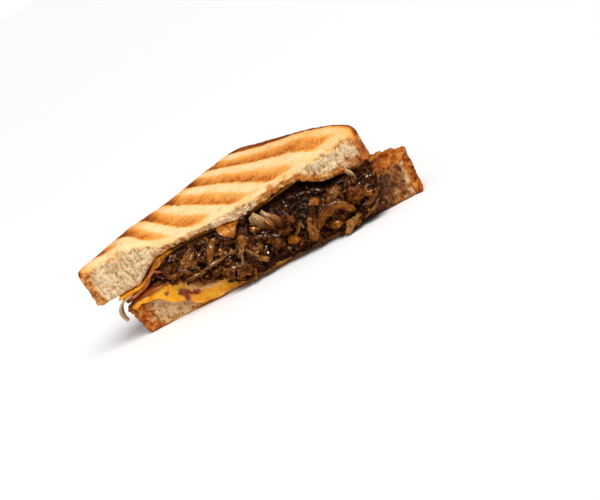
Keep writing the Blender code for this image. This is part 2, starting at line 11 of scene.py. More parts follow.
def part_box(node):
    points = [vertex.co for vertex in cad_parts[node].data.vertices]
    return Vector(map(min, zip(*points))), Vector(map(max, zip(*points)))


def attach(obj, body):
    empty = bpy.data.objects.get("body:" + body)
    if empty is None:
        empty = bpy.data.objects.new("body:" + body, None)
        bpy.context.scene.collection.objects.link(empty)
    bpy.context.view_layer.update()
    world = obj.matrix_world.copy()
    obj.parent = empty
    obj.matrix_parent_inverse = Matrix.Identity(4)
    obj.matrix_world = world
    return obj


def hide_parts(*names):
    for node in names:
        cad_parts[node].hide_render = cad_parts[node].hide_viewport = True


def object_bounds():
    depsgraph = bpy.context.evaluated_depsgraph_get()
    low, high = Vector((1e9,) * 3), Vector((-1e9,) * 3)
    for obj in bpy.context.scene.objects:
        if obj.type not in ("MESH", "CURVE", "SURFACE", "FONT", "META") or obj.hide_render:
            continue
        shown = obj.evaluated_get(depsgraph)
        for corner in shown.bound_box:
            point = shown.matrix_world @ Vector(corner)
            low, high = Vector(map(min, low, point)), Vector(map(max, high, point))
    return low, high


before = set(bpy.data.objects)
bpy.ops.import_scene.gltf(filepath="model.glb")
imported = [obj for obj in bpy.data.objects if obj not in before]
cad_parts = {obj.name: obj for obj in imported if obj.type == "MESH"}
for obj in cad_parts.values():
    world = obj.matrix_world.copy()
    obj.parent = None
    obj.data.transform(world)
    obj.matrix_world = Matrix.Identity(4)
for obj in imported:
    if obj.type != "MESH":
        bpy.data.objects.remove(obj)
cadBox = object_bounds()
mm = 0.001
offFloor = 0.35 * mm

# everything is laid out with the cut along Y = 0 and moved onto the CAD by settle()
breadLow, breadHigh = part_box("top_bread")
bottomShift = 8 * mm
topShift = -8 * mm
cutOrigin = np.array(((breadLow.x + breadHigh.x) / 2 - topShift, breadLow.y, 0))


def deselectAll():
    for obj in bpy.context.selected_objects:
        obj.select_set(False)


def focus(piece):
    deselectAll()
    piece.select_set(True)
    bpy.context.view_layer.objects.active = piece


def started(name):
    piece = bpy.context.object
    piece.name = name
    piece.data.name = name
    return piece


def pick(piece, kind, test):
    # selects the vertices, edges or faces that pass the test, in edit mode
    bpy.ops.mesh.select_mode(type=kind)
    bpy.ops.mesh.select_all(action="DESELECT")
    work = bmesh.from_edit_mesh(piece.data)
    for part in {"VERT": work.verts, "EDGE": work.edges, "FACE": work.faces}[kind]:
        if test(part):
            part.select = True
    work.select_flush_mode()
    bmesh.update_edit_mesh(piece.data)


def addStep(piece, kind, **settings):
    focus(piece)
    bpy.ops.object.modifier_add(type=kind)
    step = piece.modifiers[-1]
    for key, value in settings.items():
        setattr(step, key, value)
    bpy.ops.object.modifier_apply(modifier=step.name)


def readPoints(piece, field="co"):
    points = np.empty(len(piece.data.vertices) * 3)
    piece.data.vertices.foreach_get(field, points)
    return points.reshape(-1, 3)


def writePoints(piece, points):
    piece.data.vertices.foreach_set("co", np.ascontiguousarray(points).ravel())
    piece.data.update()


def liftOffFloor(piece):
    points = readPoints(piece)
    points[:, 2] = np.maximum(points[:, 2], offFloor)
    writePoints(piece, points)


def writeMasks(piece, masks):
    # numbers for each vertex, which the finishes read by name
    for name, values in masks.items():
        layer = piece.data.attributes.new(name, "FLOAT", "POINT")
        filled = np.broadcast_to(np.clip(values, 0, 1), len(piece.data.vertices))
        layer.data.foreach_set("value", filled.astype(np.float32))


def writeFibre(piece, lines):
    # a place in the grain of the meat for each vertex
    layer = piece.data.attributes.new("fibre", "FLOAT_VECTOR", "POINT")
    layer.data.foreach_set("vector", lines.astype(np.float32).ravel())


def writeGroup(piece, name, values):
    group = piece.vertex_groups.new(name=name)
    steps = np.round(np.clip(values, 0, 1) * 20).astype(int)
    for step in range(1, 21):
        group.add(np.nonzero(steps == step)[0].tolist(), step / 20, "REPLACE")


def roughen(piece, kind, size, strength, group="", middle=0.5, **settings):
    texture = bpy.data.textures.new(kind.lower(), type=kind)
    texture.noise_scale = size
    for key, value in settings.items():
        setattr(texture, key, value)
    addStep(piece, "DISPLACE", texture=texture, strength=strength, mid_level=middle, vertex_group=group)


def newObject(name, data):
    obj = bpy.data.objects.new(name, data)
    bpy.context.scene.collection.objects.link(obj)
    return obj


def interpolate(at, knots):
    # the rows of knots, and what lies between them
    return np.stack([np.interp(at, np.arange(len(knots)), column) for column in np.transpose(knots)], axis=1)


def settle(piece, slot, finish, *nodes):
    # onto the CAD, and inside its box
    points = readPoints(piece) + cutOrigin
    writePoints(piece, np.clip(points, np.array(cadBox[0]), np.array(cadBox[1])))
    focus(piece)
    bpy.ops.object.shade_smooth()
    piece.data.materials.clear()
    piece.data.materials.append(finish)
    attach(piece, "root")
    if nodes:
        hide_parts(*nodes)


loaf = {
    "side": 119 * mm,
    "corner": 12 * mm,
    "height": 47 * mm,
    "rim": 2.6 * mm,
    "voxel": 0.66 * mm,
    "blank": 20 * mm,
    "shrink": 0.998,
    "tipReach": 4.5 * mm,
}
halfCut = loaf["side"] * math.sqrt(2) / 2


def ease(start, end, value):
    # 0 up to start and 1 from end on, with soft turns
    share = np.clip((value - start) / (end - start), 0, 1)
    return share * share * (3 - 2 * share)


def after(start, end, value):
    # here and in the next three the limits are in mm and the value in metres
    return ease(start * mm, end * mm, value)


def until(start, end, value):
    return 1 - after(start, end, value)


def hump(centre, width, value):
    return np.exp(-(((value - centre * mm) / (width * mm)) ** 2))


def window(left, right, soft, value):
    return after(left - soft, left, value) * until(right, right + soft, value)


def unit(vector):
    return vector / max(np.linalg.norm(vector), 1e-9)


def crustDistance(x, y, shift):
    return (halfCut - np.abs(x - shift) - y) / math.sqrt(2)


def crustDepth(x, y, shift):
    # true depth under the crust, round the loaf's corners too
    a, b = np.abs(x - shift), np.abs(y)
    u, v = (a + b) / math.sqrt(2), np.abs(a - b) / math.sqrt(2)
    reach = loaf["side"] / 2 - loaf["corner"]
    over = np.hypot(np.maximum(u - reach, 0), np.maximum(v - reach, 0))
    return loaf["corner"] - over - np.minimum(np.maximum(u - reach, v - reach), 0)


def fade(y):
    return np.exp(-np.maximum(y, 0) / (12 * mm))


def bottomOpen(x):
    return after(-52, -26, x) * until(46, 76, x)


def topOpen(x):
    return after(-64, -44, x) * until(30, 48, x)


def bottomUpper(x, y):
    inward = after(0, 24, crustDistance(x, y, bottomShift))
    opened = 1 - (1 - bottomOpen(x)) * fade(y)
    seam = 16.4 * mm + 6 * mm * after(-75, 40, x)
    return seam - 6 * mm * inward * opened - 6 * mm * bottomOpen(x) * fade(y)


def topLower(x, y):
    inward = after(0, 24, crustDistance(x, y, topShift))
    opened = 1 - (1 - topOpen(x)) * fade(y)
    seam = 24 * mm + 2 * mm * after(-80, 0, x)
    return seam + 5 * mm * inward * opened + (3.5 * mm * topOpen(x) - 4 * mm * hump(2, 20, x)) * fade(y)


grill = {
    "pitch": 15.7 * mm, "first": 12 * mm, "angle": math.radians(41), "depth": 0.5 * mm, "crustMargin": 13,
    # how brown it is from one mark to the next: place and share
    "profile": (
        (0, 0), (0.14, 0.06), (0.28, 0.36), (0.5, 0.62), (0.66, 0.8), (0.73, 0.5), (0.79, 0.06), (1, 0),
    ),
}


def grillAcross(x, y):
    # place across the grill marks, counted in marks: a whole number is the middle of one
    across = (halfCut - x + topShift) * math.sin(grill["angle"]) - y * math.cos(grill["angle"])
    return (across - grill["first"]) / grill["pitch"]


def topUpper(x, y):
    pressed = after(-64, -34, x) * (1 - 0.45 * after(20, 64, x))
    droop = 1.5 * mm * until(-86, -58, x)
    reach = 11 * mm + 19 * mm * after(-75, -45, x) * until(5, 45, x)
    press = 10 * mm * pressed * np.exp(-((np.maximum(y, 0) / reach) ** 1.5))
    return loaf["height"] - press - droop


def colour(red, green, blue):
    # picked sRGB values to the renderer's own
    share = [value / 255 for value in (red, green, blue)]
    return tuple(v / 12.92 if v <= 0.04045 else ((v + 0.055) / 1.055) ** 2.4 for v in share) + (1.0,)


def feed(tree, node, sockets):
    # a socket is linked, anything else is set
    for key, value in sockets.items():
        if isinstance(value, bpy.types.NodeSocket):
            tree.links.new(value, node.inputs[key])
        else:
            node.inputs[key].default_value = value


def put(tree, kind, sockets, **settings):
    made = tree.nodes.new("ShaderNode" + kind)
    for key, value in settings.items():
        setattr(made, key, value)
    feed(tree, made, sockets)
    return made


def sums(tree, operation, first, second=0.0, third=0.0, clamp=False):
    return put(tree, "Math", {0: first, 1: second, 2: third}, operation=operation, use_clamp=clamp).outputs[0]


def plus(tree, first, second):
    return sums(tree, "ADD", first, second)


def less(tree, first, second):
    return sums(tree, "SUBTRACT", first, second)


def times(tree, first, second, clamp=False):
    return sums(tree, "MULTIPLY", first, second, clamp=clamp)


def timesPlus(tree, first, second, third, clamp=False):
    return sums(tree, "MULTIPLY_ADD", first, second, third, clamp)


def wander(tree, grain, much, base, clamp=False):
    # base, pushed both ways by a noise that is 0.5 in the middle
    return timesPlus(tree, less(tree, grain, 0.5), much, base, clamp)


def vectors(tree, operation, first, second):
    return put(tree, "VectorMath", {0: first, 1: second}, operation=operation).outputs


def stretch(tree, vector, scale):
    return vectors(tree, "MULTIPLY", vector, scale)[0]


def spread(tree, value, low, high, toLow=0.0, toHigh=1.0):
    sockets = {0: value, 1: low, 2: high, 3: toLow, 4: toHigh}
    return put(tree, "MapRange", sockets, interpolation_type="SMOOTHSTEP").outputs[0]


def blend(tree, share, first, second, mode="MIX"):
    made = put(tree, "Mix", {0: share, 6: first, 7: second}, data_type="RGBA", blend_type=mode)
    return made.outputs[2]


def ramp(tree, value, stops):
    made = put(tree, "ValToRGB", {0: value})
    points = made.color_ramp.elements
    while len(points) < len(stops):
        points.new(1.0)
    for point, (place, shade) in zip(points, stops):
        point.position = place
        point.color = shade
    return made.outputs[0]


def noise(tree, where, scale, detail=3.0, rough=0.55):
    made = put(tree, "TexNoise", {"Vector": where, "Scale": scale, "Detail": detail, "Roughness": rough})
    return made.outputs[0]


def mask(tree, name):
    return put(tree, "Attribute", {}, attribute_name=name).outputs["Fac"]


def fibres(tree):
    return put(tree, "Attribute", {}, attribute_name="fibre").outputs["Vector"]


def group(name, numbers, results):
    # a shader group that takes a place and some numbers, and gives numbers
    tree = bpy.data.node_groups.new(name, "ShaderNodeTree")
    tree.interface.new_socket(name="Vector", in_out="INPUT", socket_type="NodeSocketVector")
    for label, value in numbers.items():
        socket = tree.interface.new_socket(name=label, in_out="INPUT", socket_type="NodeSocketFloat")
        socket.default_value = value
    for label in results:
        tree.interface.new_socket(name=label, in_out="OUTPUT", socket_type="NodeSocketFloat")
    given = tree.nodes.new("NodeGroupInput").outputs
    return tree, given, given["Vector"], tree.nodes.new("NodeGroupOutput").inputs


def use(tree, name, sockets):
    return put(tree, "Group", sockets, node_tree=bpy.data.node_groups[name]).outputs


def ragged(tree, where, share, scale, much):
    return use(tree, "raggedEdge", {"Vector": where, "Mask": share, "Scale": scale, "Ragged": much})["Mask"]


def mottle(tree, where, coarse, fine):
    return use(tree, "mottle", {"Vector": where, "Coarse": coarse, "Fine": fine})


def newFinish(name):
    made = bpy.data.materials.new(name)
    made.use_nodes = True
    tree = made.node_tree
    tree.nodes.clear()
    skin = tree.nodes.new("ShaderNodeBsdfPrincipled")
    end = tree.nodes.new("ShaderNodeOutputMaterial")
    tree.links.new(skin.outputs[0], end.inputs[0])
    where = tree.nodes.new("ShaderNodeTexCoord").outputs["Object"]
    return made, tree, skin, where


def finishSkin(tree, skin, base, rough, height, depth, strength, more):
    bump = put(tree, "Bump", {"Strength": strength, "Distance": depth, "Height": height}).outputs[0]
    feed(tree, skin, {"Base Color": base, "Roughness": rough, "Normal": bump, **more})


def makeGroups():
    # a soft mask broken up by noise
    tree, given, place, gives = group("raggedEdge", {"Mask": 0.5, "Scale": 300.0, "Ragged": 0.5}, ["Mask"])
    fine = noise(tree, place, given["Scale"], 4.0, 0.6)
    shifted = wander(tree, fine, given["Ragged"], given["Mask"])
    tree.links.new(spread(tree, shifted, 0.3, 0.7), gives["Mask"])

    # open pores of bread, each a dimple with a thin wall round it
    tree, given, place, gives = group("openPores", {"Scale": 600.0}, ["Pore", "Height"])
    warp = put(tree, "TexNoise", {"Vector": place, "Scale": 260.0, "Detail": 2.0}).outputs["Color"]
    warped = put(tree, "VectorMath", {0: warp, "Scale": 0.002}, operation="SCALE").outputs[0]
    warped = vectors(tree, "ADD", warped, stretch(tree, place, (1.0, 1.0, 0.55)))[0]
    big = put(tree, "TexVoronoi", {"Vector": warped, "Scale": given["Scale"]}).outputs["Distance"]
    smallScale = times(tree, given["Scale"], 2.3)
    small = put(tree, "TexVoronoi", {"Vector": warped, "Scale": smallScale}).outputs["Distance"]
    both = timesPlus(tree, small, 0.75, times(tree, big, 0.65))
    tree.links.new(spread(tree, both, 0.75, 0.32), gives["Pore"])
    tree.links.new(both, gives["Height"])

    # browned patches, large and small, and dark specks
    tree, given, place, gives = group("mottle", {"Coarse": 70.0, "Fine": 700.0}, ["Mask", "Specks"])
    coarse = noise(tree, place, given["Coarse"], 4.0, 0.6)
    fine = noise(tree, place, given["Fine"], 3.0, 0.6)
    both = timesPlus(tree, fine, 0.45, times(tree, coarse, 0.55))
    tree.links.new(spread(tree, both, 0.32, 0.68), gives["Mask"])
    dots = put(tree, "TexVoronoi", {"Vector": place, "Scale": times(tree, given["Coarse"], 1.6)}).outputs
    near = spread(tree, dots["Distance"], 0.1, 0.04)
    chosen = spread(tree, put(tree, "SeparateColor", {0: dots["Color"]}).outputs[0], 0.66, 0.72)
    tree.links.new(times(tree, near, chosen), gives["Specks"])

    # grill marks: pale, through orange to brown, then a sharp step back
    tree, given, place, gives = group("grillMarks", {"Ends": 0.0, "Faded": 0.0}, ["Char", "Flecks"])
    sine, cosine = math.sin(grill["angle"]), math.cos(grill["angle"])
    toNext = (-sine / grill["pitch"], -cosine / grill["pitch"], 0)
    torn = noise(tree, place, 330.0, 4.0, 0.62)
    wide = noise(tree, place, 55.0, 2.0)
    across = vectors(tree, "DOT_PRODUCT", place, toNext)["Value"]
    phase = plus(tree, across, float(grillAcross(-cutOrigin[0], -cutOrigin[1])) + 10.5)
    phase = sums(tree, "FRACT", wander(tree, wide, 0.09, phase))
    stops = [(at, (much, much, much, 1)) for at, much in grill["profile"]]
    char = ramp(tree, wander(tree, torn, 0.2, phase), stops)
    patch = noise(tree, place, 120.0, 4.0, 0.65)
    stronger = timesPlus(tree, given["Ends"], 0.4, spread(tree, patch, 0.25, 0.75, 0.66, 1.08))
    uneven = wander(tree, patch, 0.9, given["Faded"], clamp=True)
    stronger = times(tree, stronger, spread(tree, uneven, 0.1, 0.8, 1.0, 0.12))
    tree.links.new(times(tree, char, stronger, clamp=True), gives["Char"])
    # flecks drawn out across the marks
    length = vectors(tree, "DOT_PRODUCT", place, (cosine, -sine, 0))["Value"]
    drawn = put(tree, "CombineXYZ", {0: times(tree, length, 1050.0), 1: times(tree, across, 8.0)}).outputs[0]
    fine = put(tree, "VectorMath", {0: place, "Scale": 240.0}, operation="SCALE").outputs[0]
    drawn = vectors(tree, "ADD", drawn, fine)[0]
    tree.links.new(noise(tree, drawn, 1.0, 4.0, 0.7), gives["Flecks"])


makeGroups()


breadLooks = {
    "crumbPale": colour(250, 230, 196),
    "crumbShade": colour(208, 167, 121),
    # the next colour is painted shade, for the crumb's pores, pits and strand hollows
    "crumbPoreShade": colour(176, 124, 74),
    "toastPale": colour(255, 226, 170),
    "toastGold": colour(251, 175, 84),
    "toastBrown": colour(218, 124, 42),
    "toastDark": colour(128, 56, 16),
    "butter": colour(255, 220, 134),
    "gilt": colour(255, 206, 130),
    "crustPale": colour(246, 186, 120),
    "crustTan": colour(210, 130, 62),
    "crustBrown": colour(158, 84, 34),
    "crustDark": colour(92, 42, 14),
    "broth": colour(206, 150, 78),
    "sauceStain": colour(94, 43, 8),
}


def breadRamp(tree, value, stops):
    return ramp(tree, value, [(at, breadLooks[name]) for at, name in stops])


def breadFinish(name, stain, crumbTint, crustTint, smoothSide):
    made, tree, skin, where = newFinish(name)
    looks = breadLooks
    names = ("pit", "rim", "side", "toast", "soakAndShade", "ends", "edge", "butter", "faded")
    pit, rim, side, toast, soakAndShade, ends, edge, butter, faded = (mask(tree, name) for name in names)
    mottled = mottle(tree, where, 75.0, 620.0)
    pores = use(tree, "openPores", {"Vector": where, "Scale": 470.0})
    grain = noise(tree, where, 900.0, 3.0, 0.7)

    # crumb, its strands slanting a little; painted shade in its pores, pits and between the strands, paler on
    # the strand ridges
    grown = put(tree, "Mapping", {"Vector": where, "Rotation": (0, 0.7, 0), "Scale": (620, 420, 330)})
    strand = noise(tree, grown.outputs[0], 1.0, 4.0, 0.6)
    # painted shade: pores, pits and low strands push the crumb towards its shaded colour
    hollow = timesPlus(tree, pores["Pore"], 0.45, times(tree, pit, 0.34))
    hollow = timesPlus(tree, less(tree, 0.54, strand), 1.25, hollow, clamp=True)
    crumb = breadRamp(tree, hollow, ((0.08, "crumbPale"), (0.42, "crumbShade"), (0.9, "crumbPoreShade")))
    clouded = spread(tree, noise(tree, where, 190.0, 3.0), 0.4, 0.75, 0.0, 0.45)
    crumb = blend(tree, clouded, crumb, looks["crumbShade"], "MULTIPLY")
    crumb = blend(tree, 1.0, crumb, crumbTint, "MULTIPLY")

    # browned rim and side crust
    blotch = noise(tree, where, 250.0, 5.0, 0.75)
    browns = ((0.3, "crustDark"), (0.39, "crustBrown"), (0.48, "crustTan"), (0.59, "crustPale"))
    crust = breadRamp(tree, blotch, browns)
    # painted shade: the crust goes dark in its pores and in the pits of its relief
    paintedShade = timesPlus(tree, pores["Pore"], 0.55, times(tree, pit, 0.6), clamp=True)
    crust = blend(tree, times(tree, paintedShade, 0.8), crust, looks["crustDark"])
    # the smoother baked side: browner to the top edge, faint upright wrinkles
    cloudy = noise(tree, where, 120.0, 5.0, 0.7)
    baked = breadRamp(tree, cloudy, ((0.34, "crustTan"), (0.66, "crustPale")))
    baked = blend(tree, times(tree, butter, 1.5, clamp=True), baked, looks["crustBrown"])
    wrinkles = noise(tree, stretch(tree, where, (48.0, 48.0, 9.0)), 4.0, 3.0, 0.6)
    baked = blend(tree, spread(tree, wrinkles, 0.62, 0.42, 0.0, 0.55), baked, looks["crustBrown"])
    crust = blend(tree, times(tree, side, smoothSide), crust, baked)
    crust = blend(tree, 1.0, crust, crustTint, "MULTIPLY")
    rimMask = ragged(tree, where, rim, 230.0, 2.2)
    shade = blend(tree, rimMask, crumb, crust)

    # melted butter under the toasted skin
    butterMask = ragged(tree, where, butter, 130.0, 2.4)
    shade = blend(tree, times(tree, butterMask, 0.75), shade, looks["butter"], "MULTIPLY")

    # toasted face, golden where it thins out over the crumb
    marks = use(tree, "grillMarks", {"Vector": where, "Ends": ends, "Faded": faded})
    flecked = times(tree, marks["Char"], spread(tree, marks["Flecks"], 0.3, 0.7, 0.66, 1.28))
    char = timesPlus(tree, mottled["Mask"], 0.18, flecked)
    char = timesPlus(tree, ends, 0.14, timesPlus(tree, edge, 0.75, char))
    char = wander(tree, grain, 0.24, char, clamp=True)
    golds = ((0.05, "toastPale"), (0.34, "toastGold"), (0.66, "toastBrown"), (1.0, "toastDark"))
    toasted = breadRamp(tree, char, golds)
    toasted = blend(tree, times(tree, mottled["Specks"], 0.8), toasted, looks["toastDark"])
    gilt = ragged(tree, where, times(tree, toast, 1.9), 120.0, 1.4)
    shade = blend(tree, times(tree, gilt, 0.6), shade, looks["gilt"], "MULTIPLY")
    toastMask = ragged(tree, where, toast, 190.0, 2.4)
    shade = blend(tree, toastMask, shade, toasted)

    # sauce and fat soaked in beside the filling, and an even painted shade over the bottom slice
    soakMask = ragged(tree, where, soakAndShade, 210.0, 1.2)
    soaked = wander(tree, blotch, 1.5, soakAndShade)
    soaked = timesPlus(tree, less(tree, 0.5, strand), 1.5, soaked)
    stainShade = ramp(tree, soaked, [(0.4, looks["broth"]), (0.9, stain)])
    shade = blend(tree, times(tree, soakMask, 0.92), shade, stainShade, "MULTIPLY")

    rough = spread(tree, soakMask, 0.0, 1.0, 0.78, 0.42)
    ripple = noise(tree, where, 800.0, 4.0, 0.7)
    fluff = times(tree, times(tree, strand, 1.6), less(tree, 1.0, toastMask))
    height = timesPlus(tree, pores["Height"], less(tree, 1.3, toastMask), plus(tree, ripple, fluff))
    finishSkin(tree, skin, shade, rough, height, 0.5 * mm, 0.85, {
        "Specular IOR Level": 0.1, "Subsurface Weight": 0.08, "Subsurface Radius": (0.003, 0.0016, 0.0008),
    })
    return made


def cutSlice(name, shift):
    # a square loaf slice, its corners rounded, cut corner to corner
    thick = loaf["blank"]
    side = loaf["side"]
    middle = (shift, 0, thick / 2)
    deselectAll()
    bpy.ops.mesh.primitive_cube_add(size=1, location=(0, 0, 0), scale=(side, side, thick))
    piece = started(name)
    bpy.ops.object.mode_set(mode="EDIT")
    bpy.ops.transform.rotate(value=math.radians(45), orient_axis="Z", center_override=(0, 0, 0))
    bpy.ops.transform.translate(value=middle)
    pick(piece, "EDGE", lambda edge: abs(edge.verts[0].co.z - edge.verts[1].co.z) > thick / 2)
    bpy.ops.mesh.bevel(offset=loaf["corner"], segments=8, affect="EDGES")
    bpy.ops.mesh.select_all(action="SELECT")
    bpy.ops.mesh.bisect(plane_co=(0, 0, 0), plane_no=(0, -1, 0), clear_outer=True, use_fill=True)

    def onRim(edge):
        level = abs(edge.verts[0].co.z - edge.verts[1].co.z) < 1e-6
        atFace = min(edge.verts[0].co.z, thick - edge.verts[0].co.z) < 1e-6
        return level and atFace and len(edge.link_faces) == 2

    pick(piece, "EDGE", onRim)
    bpy.ops.mesh.bevel(offset=loaf["rim"], segments=4, affect="EDGES", clamp_overlap=True)
    bpy.ops.object.mode_set(mode="OBJECT")
    bpy.ops.object.transform_apply(location=True, rotation=True, scale=True)
    addStep(piece, "REMESH", mode="VOXEL", voxel_size=loaf["voxel"])
    return piece


def shapeSlice(piece, shift, upper, lower, undercut, markDepth):
    # presses the even blank between its two faces; gives where each point lies, to tell crust from crumb
    points = readPoints(piece)
    x, y = points[:, 0].copy(), np.maximum(points[:, 1], 0)
    share = np.clip(points[:, 2] / loaf["blank"], 0, 1)
    thickness = upper(x, y) - lower(x, y)
    depth = crustDepth(x, y, shift)
    marks = 0.5 + 0.5 * np.cos(2 * math.pi * grillAcross(x, y))
    pressed = markDepth * marks * ease(0.5, 1, share) * after(1, grill["crustMargin"], depth)
    points[:, 2] = lower(x, y) + share * thickness - pressed
    narrow = (undercut + (1 - undercut) * share) * loaf["shrink"]
    points[:, 0] = shift + (x - shift) * narrow
    points[:, 1] *= narrow
    if undercut < 1:
        points[:, 0] -= loaf["tipReach"] * until(-80, -44, points[:, 0])
    writePoints(piece, points)
    return x, y, share, depth, share * thickness, (1 - share) * thickness


def bakeRelief(piece, cut, side, face, relief):
    start, normals = readPoints(piece), readPoints(piece, "normal")
    for name, values in (("cut", cut), ("side", side), ("face", face), ("flaky", relief["flaky"])):
        writeGroup(piece, name, values)
    cell = {"distance_metric": "DISTANCE", "noise_intensity": 1.3}
    pore, deep = relief["pore"], relief["poreDepth"]
    roughen(piece, "VORONOI", pore, deep, "cut", 0.55, **cell)
    roughen(piece, "VORONOI", pore * 0.55, deep * 0.5, "cut", 0.55, **cell)
    roughen(piece, "CLOUDS", relief["lump"], relief["lumpDepth"], "cut", noise_depth=3)
    roughen(piece, "CLOUDS", relief["wrinkle"], relief["wrinkleDepth"], "side", noise_depth=4)
    roughen(piece, "VORONOI", pore * 0.8, relief["sidePores"], "side", 0.55, **cell)
    roughen(piece, "CLOUDS", 5 * mm, relief["faceDepth"], "face", noise_depth=5)
    roughen(piece, "CLOUDS", 2.4 * mm, relief["lumpDepth"], "cut", noise_depth=2)
    roughen(piece, "CLOUDS", 4 * mm, 2.6 * mm, "flaky", 0.6, noise_depth=4)
    roughen(piece, "VORONOI", 2.4 * mm, 1.7 * mm, "flaky", 0.5, **cell)
    sunk = np.einsum("ij,ij->i", start - readPoints(piece), normals)
    piece.vertex_groups.clear()
    # how far each point sank into the relief, which the bread finish turns into painted shade
    writeMasks(piece, {"pit": 0.35 + sunk / (deep * 0.9), "side": side})


def makeTopSlice():
    relief = {
        "pore": 1.8 * mm, "poreDepth": 0.95 * mm, "lump": 5 * mm, "lumpDepth": 1.3 * mm,
        "wrinkle": 9 * mm, "wrinkleDepth": 0.9 * mm, "sidePores": 0.3 * mm, "faceDepth": 0.9 * mm,
    }
    piece = cutSlice("top_toast", topShift)
    plan = shapeSlice(piece, topShift, topUpper, topLower, 1, grill["depth"])
    x, y, share, depth, over, under = plan
    cut = until(0.2, 1.3, y) * after(0.3, 1.5, under)
    side = until(0.3, 1.2, depth) * (1 - cut)
    left, right = until(-66, -44, x), after(30, 56, x)
    relief["flaky"] = (0.3 + 0.3 * left) * cut * until(3, 7, depth)
    bakeRelief(piece, cut, side, np.clip(1 - cut - side, 0, 1), relief)
    # how far the broth has soaked in above the filling: left, middle and right
    inner = 0.62 * window(-56, -18, 8, x) * until(0.3, 3.4 + 3 * hump(-42, 12, x), over)
    middle = 0.55 * window(-16, 24, 6, x) * until(0.2, 1.8, over)
    moist = 0.62 * window(16, 74, 10, x) * until(2, 9, over)
    below = (1 - share) * after(0.5, 2, y)
    lip = window(16, 54, 8, x) * until(2, 7, over)
    writeMasks(piece, {
        "toast": until(-0.4, 2.7 + 3.5 * left + 2.3 * right, under),
        "rim": until(1.8, 6 + 3 * left + 3 * after(40, 60, x), depth),
        "ends": until(2, 17, depth),
        "edge": until(0.4, 3.6, depth),
        "faded": until(1, 10, y),
        "butter": np.maximum(until(1, 5.5, under) * (0.38 + 0.32 * left), lip),
        "soakAndShade": np.maximum.reduce((inner, middle, moist, below)),
    })
    crumbTint, crustTint = colour(252, 244, 230), colour(255, 246, 232)
    finish = breadFinish("toasted bread", breadLooks["broth"], crumbTint, crustTint, 0.85)
    settle(piece, "toasted_bread", finish, "top_bread")
    print("top slice shaped,", len(piece.data.polygons), "faces")


def makeBottomSlice():
    relief = {
        "pore": 1.9 * mm, "poreDepth": 1.0 * mm, "lump": 5 * mm, "lumpDepth": 1.1 * mm,
        "wrinkle": 5 * mm, "wrinkleDepth": 0.8 * mm, "sidePores": 1.0 * mm, "faceDepth": 0.9 * mm,
    }
    piece = cutSlice("bottom_toast", bottomShift)
    plan = shapeSlice(piece, bottomShift, bottomUpper, lambda x, y: np.zeros_like(x), 0.965, 0)
    x, y, share, depth, over, under = plan
    cut = until(0.2, 1.3, y) * after(0.3, 1.2, over)
    side = until(0.3, 1.2, depth) * (1 - cut)
    left = until(-62, -44, x)
    # the corner that the top slice leaves bare is torn and browned
    bare = after(48, 60, x + 0.5 * y)
    torn = ease(0.4, 0.8, share) * bare * until(6, 14, depth)
    relief["flaky"] = np.maximum(torn, 0.5 * left * cut * until(7, 13, depth))
    bakeRelief(piece, cut, side, np.clip(1 - cut - side, 0, 1) * ease(0.3, 0.8, share), relief)
    topRim = bare * until(3, 6.5, under)
    wet = 0.8 * window(-50, 50, 12, x) * until(1, 5, under)
    soakedEnd = after(34, 50, x) * until(30, 44, y) * after(2, 7, depth)
    soakedEnd *= (1 - 0.75 * topRim) * (1 - 0.45 * after(72, 90, x + 0.5 * under))
    writeMasks(piece, {
        "toast": until(0.2, 1.6, over),
        "rim": np.maximum(until(2.6, 6 + 7 * left, depth), topRim),
        "ends": until(1, 12, depth),
        "edge": until(0.4, 3, depth),
        "faded": 0,
        "butter": until(1, 4, over) * 0.7,
        # the even 0.14 floor is painted shade over the whole slice
        "soakAndShade": np.maximum.reduce((wet, soakedEnd, np.full_like(x, 0.14))),
    })
    # painted shade: a crumb tint deeper than the top slice's; the crust tint is partly its own toasting,
    # partly painted shade
    crumbTint, crustTint = colour(228, 208, 182), colour(230, 194, 138)
    finish = breadFinish("dark bread", breadLooks["sauceStain"], crumbTint, crustTint, 0.3)
    settle(piece, "dark_bread", finish, "bottom_bread")
    print("bottom slice shaped,", len(piece.data.polygons), "faces")


makeTopSlice()
makeBottomSlice()


def layGrid(name, columns, rows, place):
    # melted cheese, bacon and onion are each laid as a sheet and thickened
    deselectAll()
    bpy.ops.mesh.primitive_grid_add(x_subdivisions=columns, y_subdivisions=rows, size=1)
    piece = started(name)
    flat = readPoints(piece) + 0.5
    writePoints(piece, np.stack(place(flat[:, 0], flat[:, 1]), axis=1))
    return piece, flat[:, 0], flat[:, 1]


def thicken(piece, thick, group="", thin=0.5):
    addStep(piece, "SOLIDIFY", thickness=thick, offset=0, vertex_group=group, thickness_vertex_group=thin)
    addStep(piece, "SUBSURF", levels=1, render_levels=1)
    piece.vertex_groups.clear()


fold = {"radius": 0.8 * mm, "gap": 0.5 * mm, "cheese": 1.7 * mm}
foldLength = (fold["radius"] + fold["cheese"] / 2) * math.pi / 2


def draped(x, y, lift):
    # a sheet on the bottom slice, folded down over the cut; past a crust side it droops
    past = np.maximum(-crustDistance(x, y, bottomShift), 0)
    flatZ = bottomUpper(x, y) + lift - past ** 2 / (24 * mm)
    middle = fold["radius"] + fold["cheese"] / 2
    turn = np.clip(-y / middle, 0, math.pi / 2)
    drop = np.maximum(-y - middle * math.pi / 2, 0)
    reach = fold["radius"] - fold["gap"] + lift
    foldZ = bottomUpper(x, 0) + fold["gap"] - fold["radius"] + reach * np.cos(turn) - drop
    return x, np.where(y >= 0, y, -reach * np.sin(turn)), np.where(y >= 0, flatZ, foldZ)


def hangLength(x, lowest):
    return bottomUpper(x, 0) - lowest + foldLength / 2


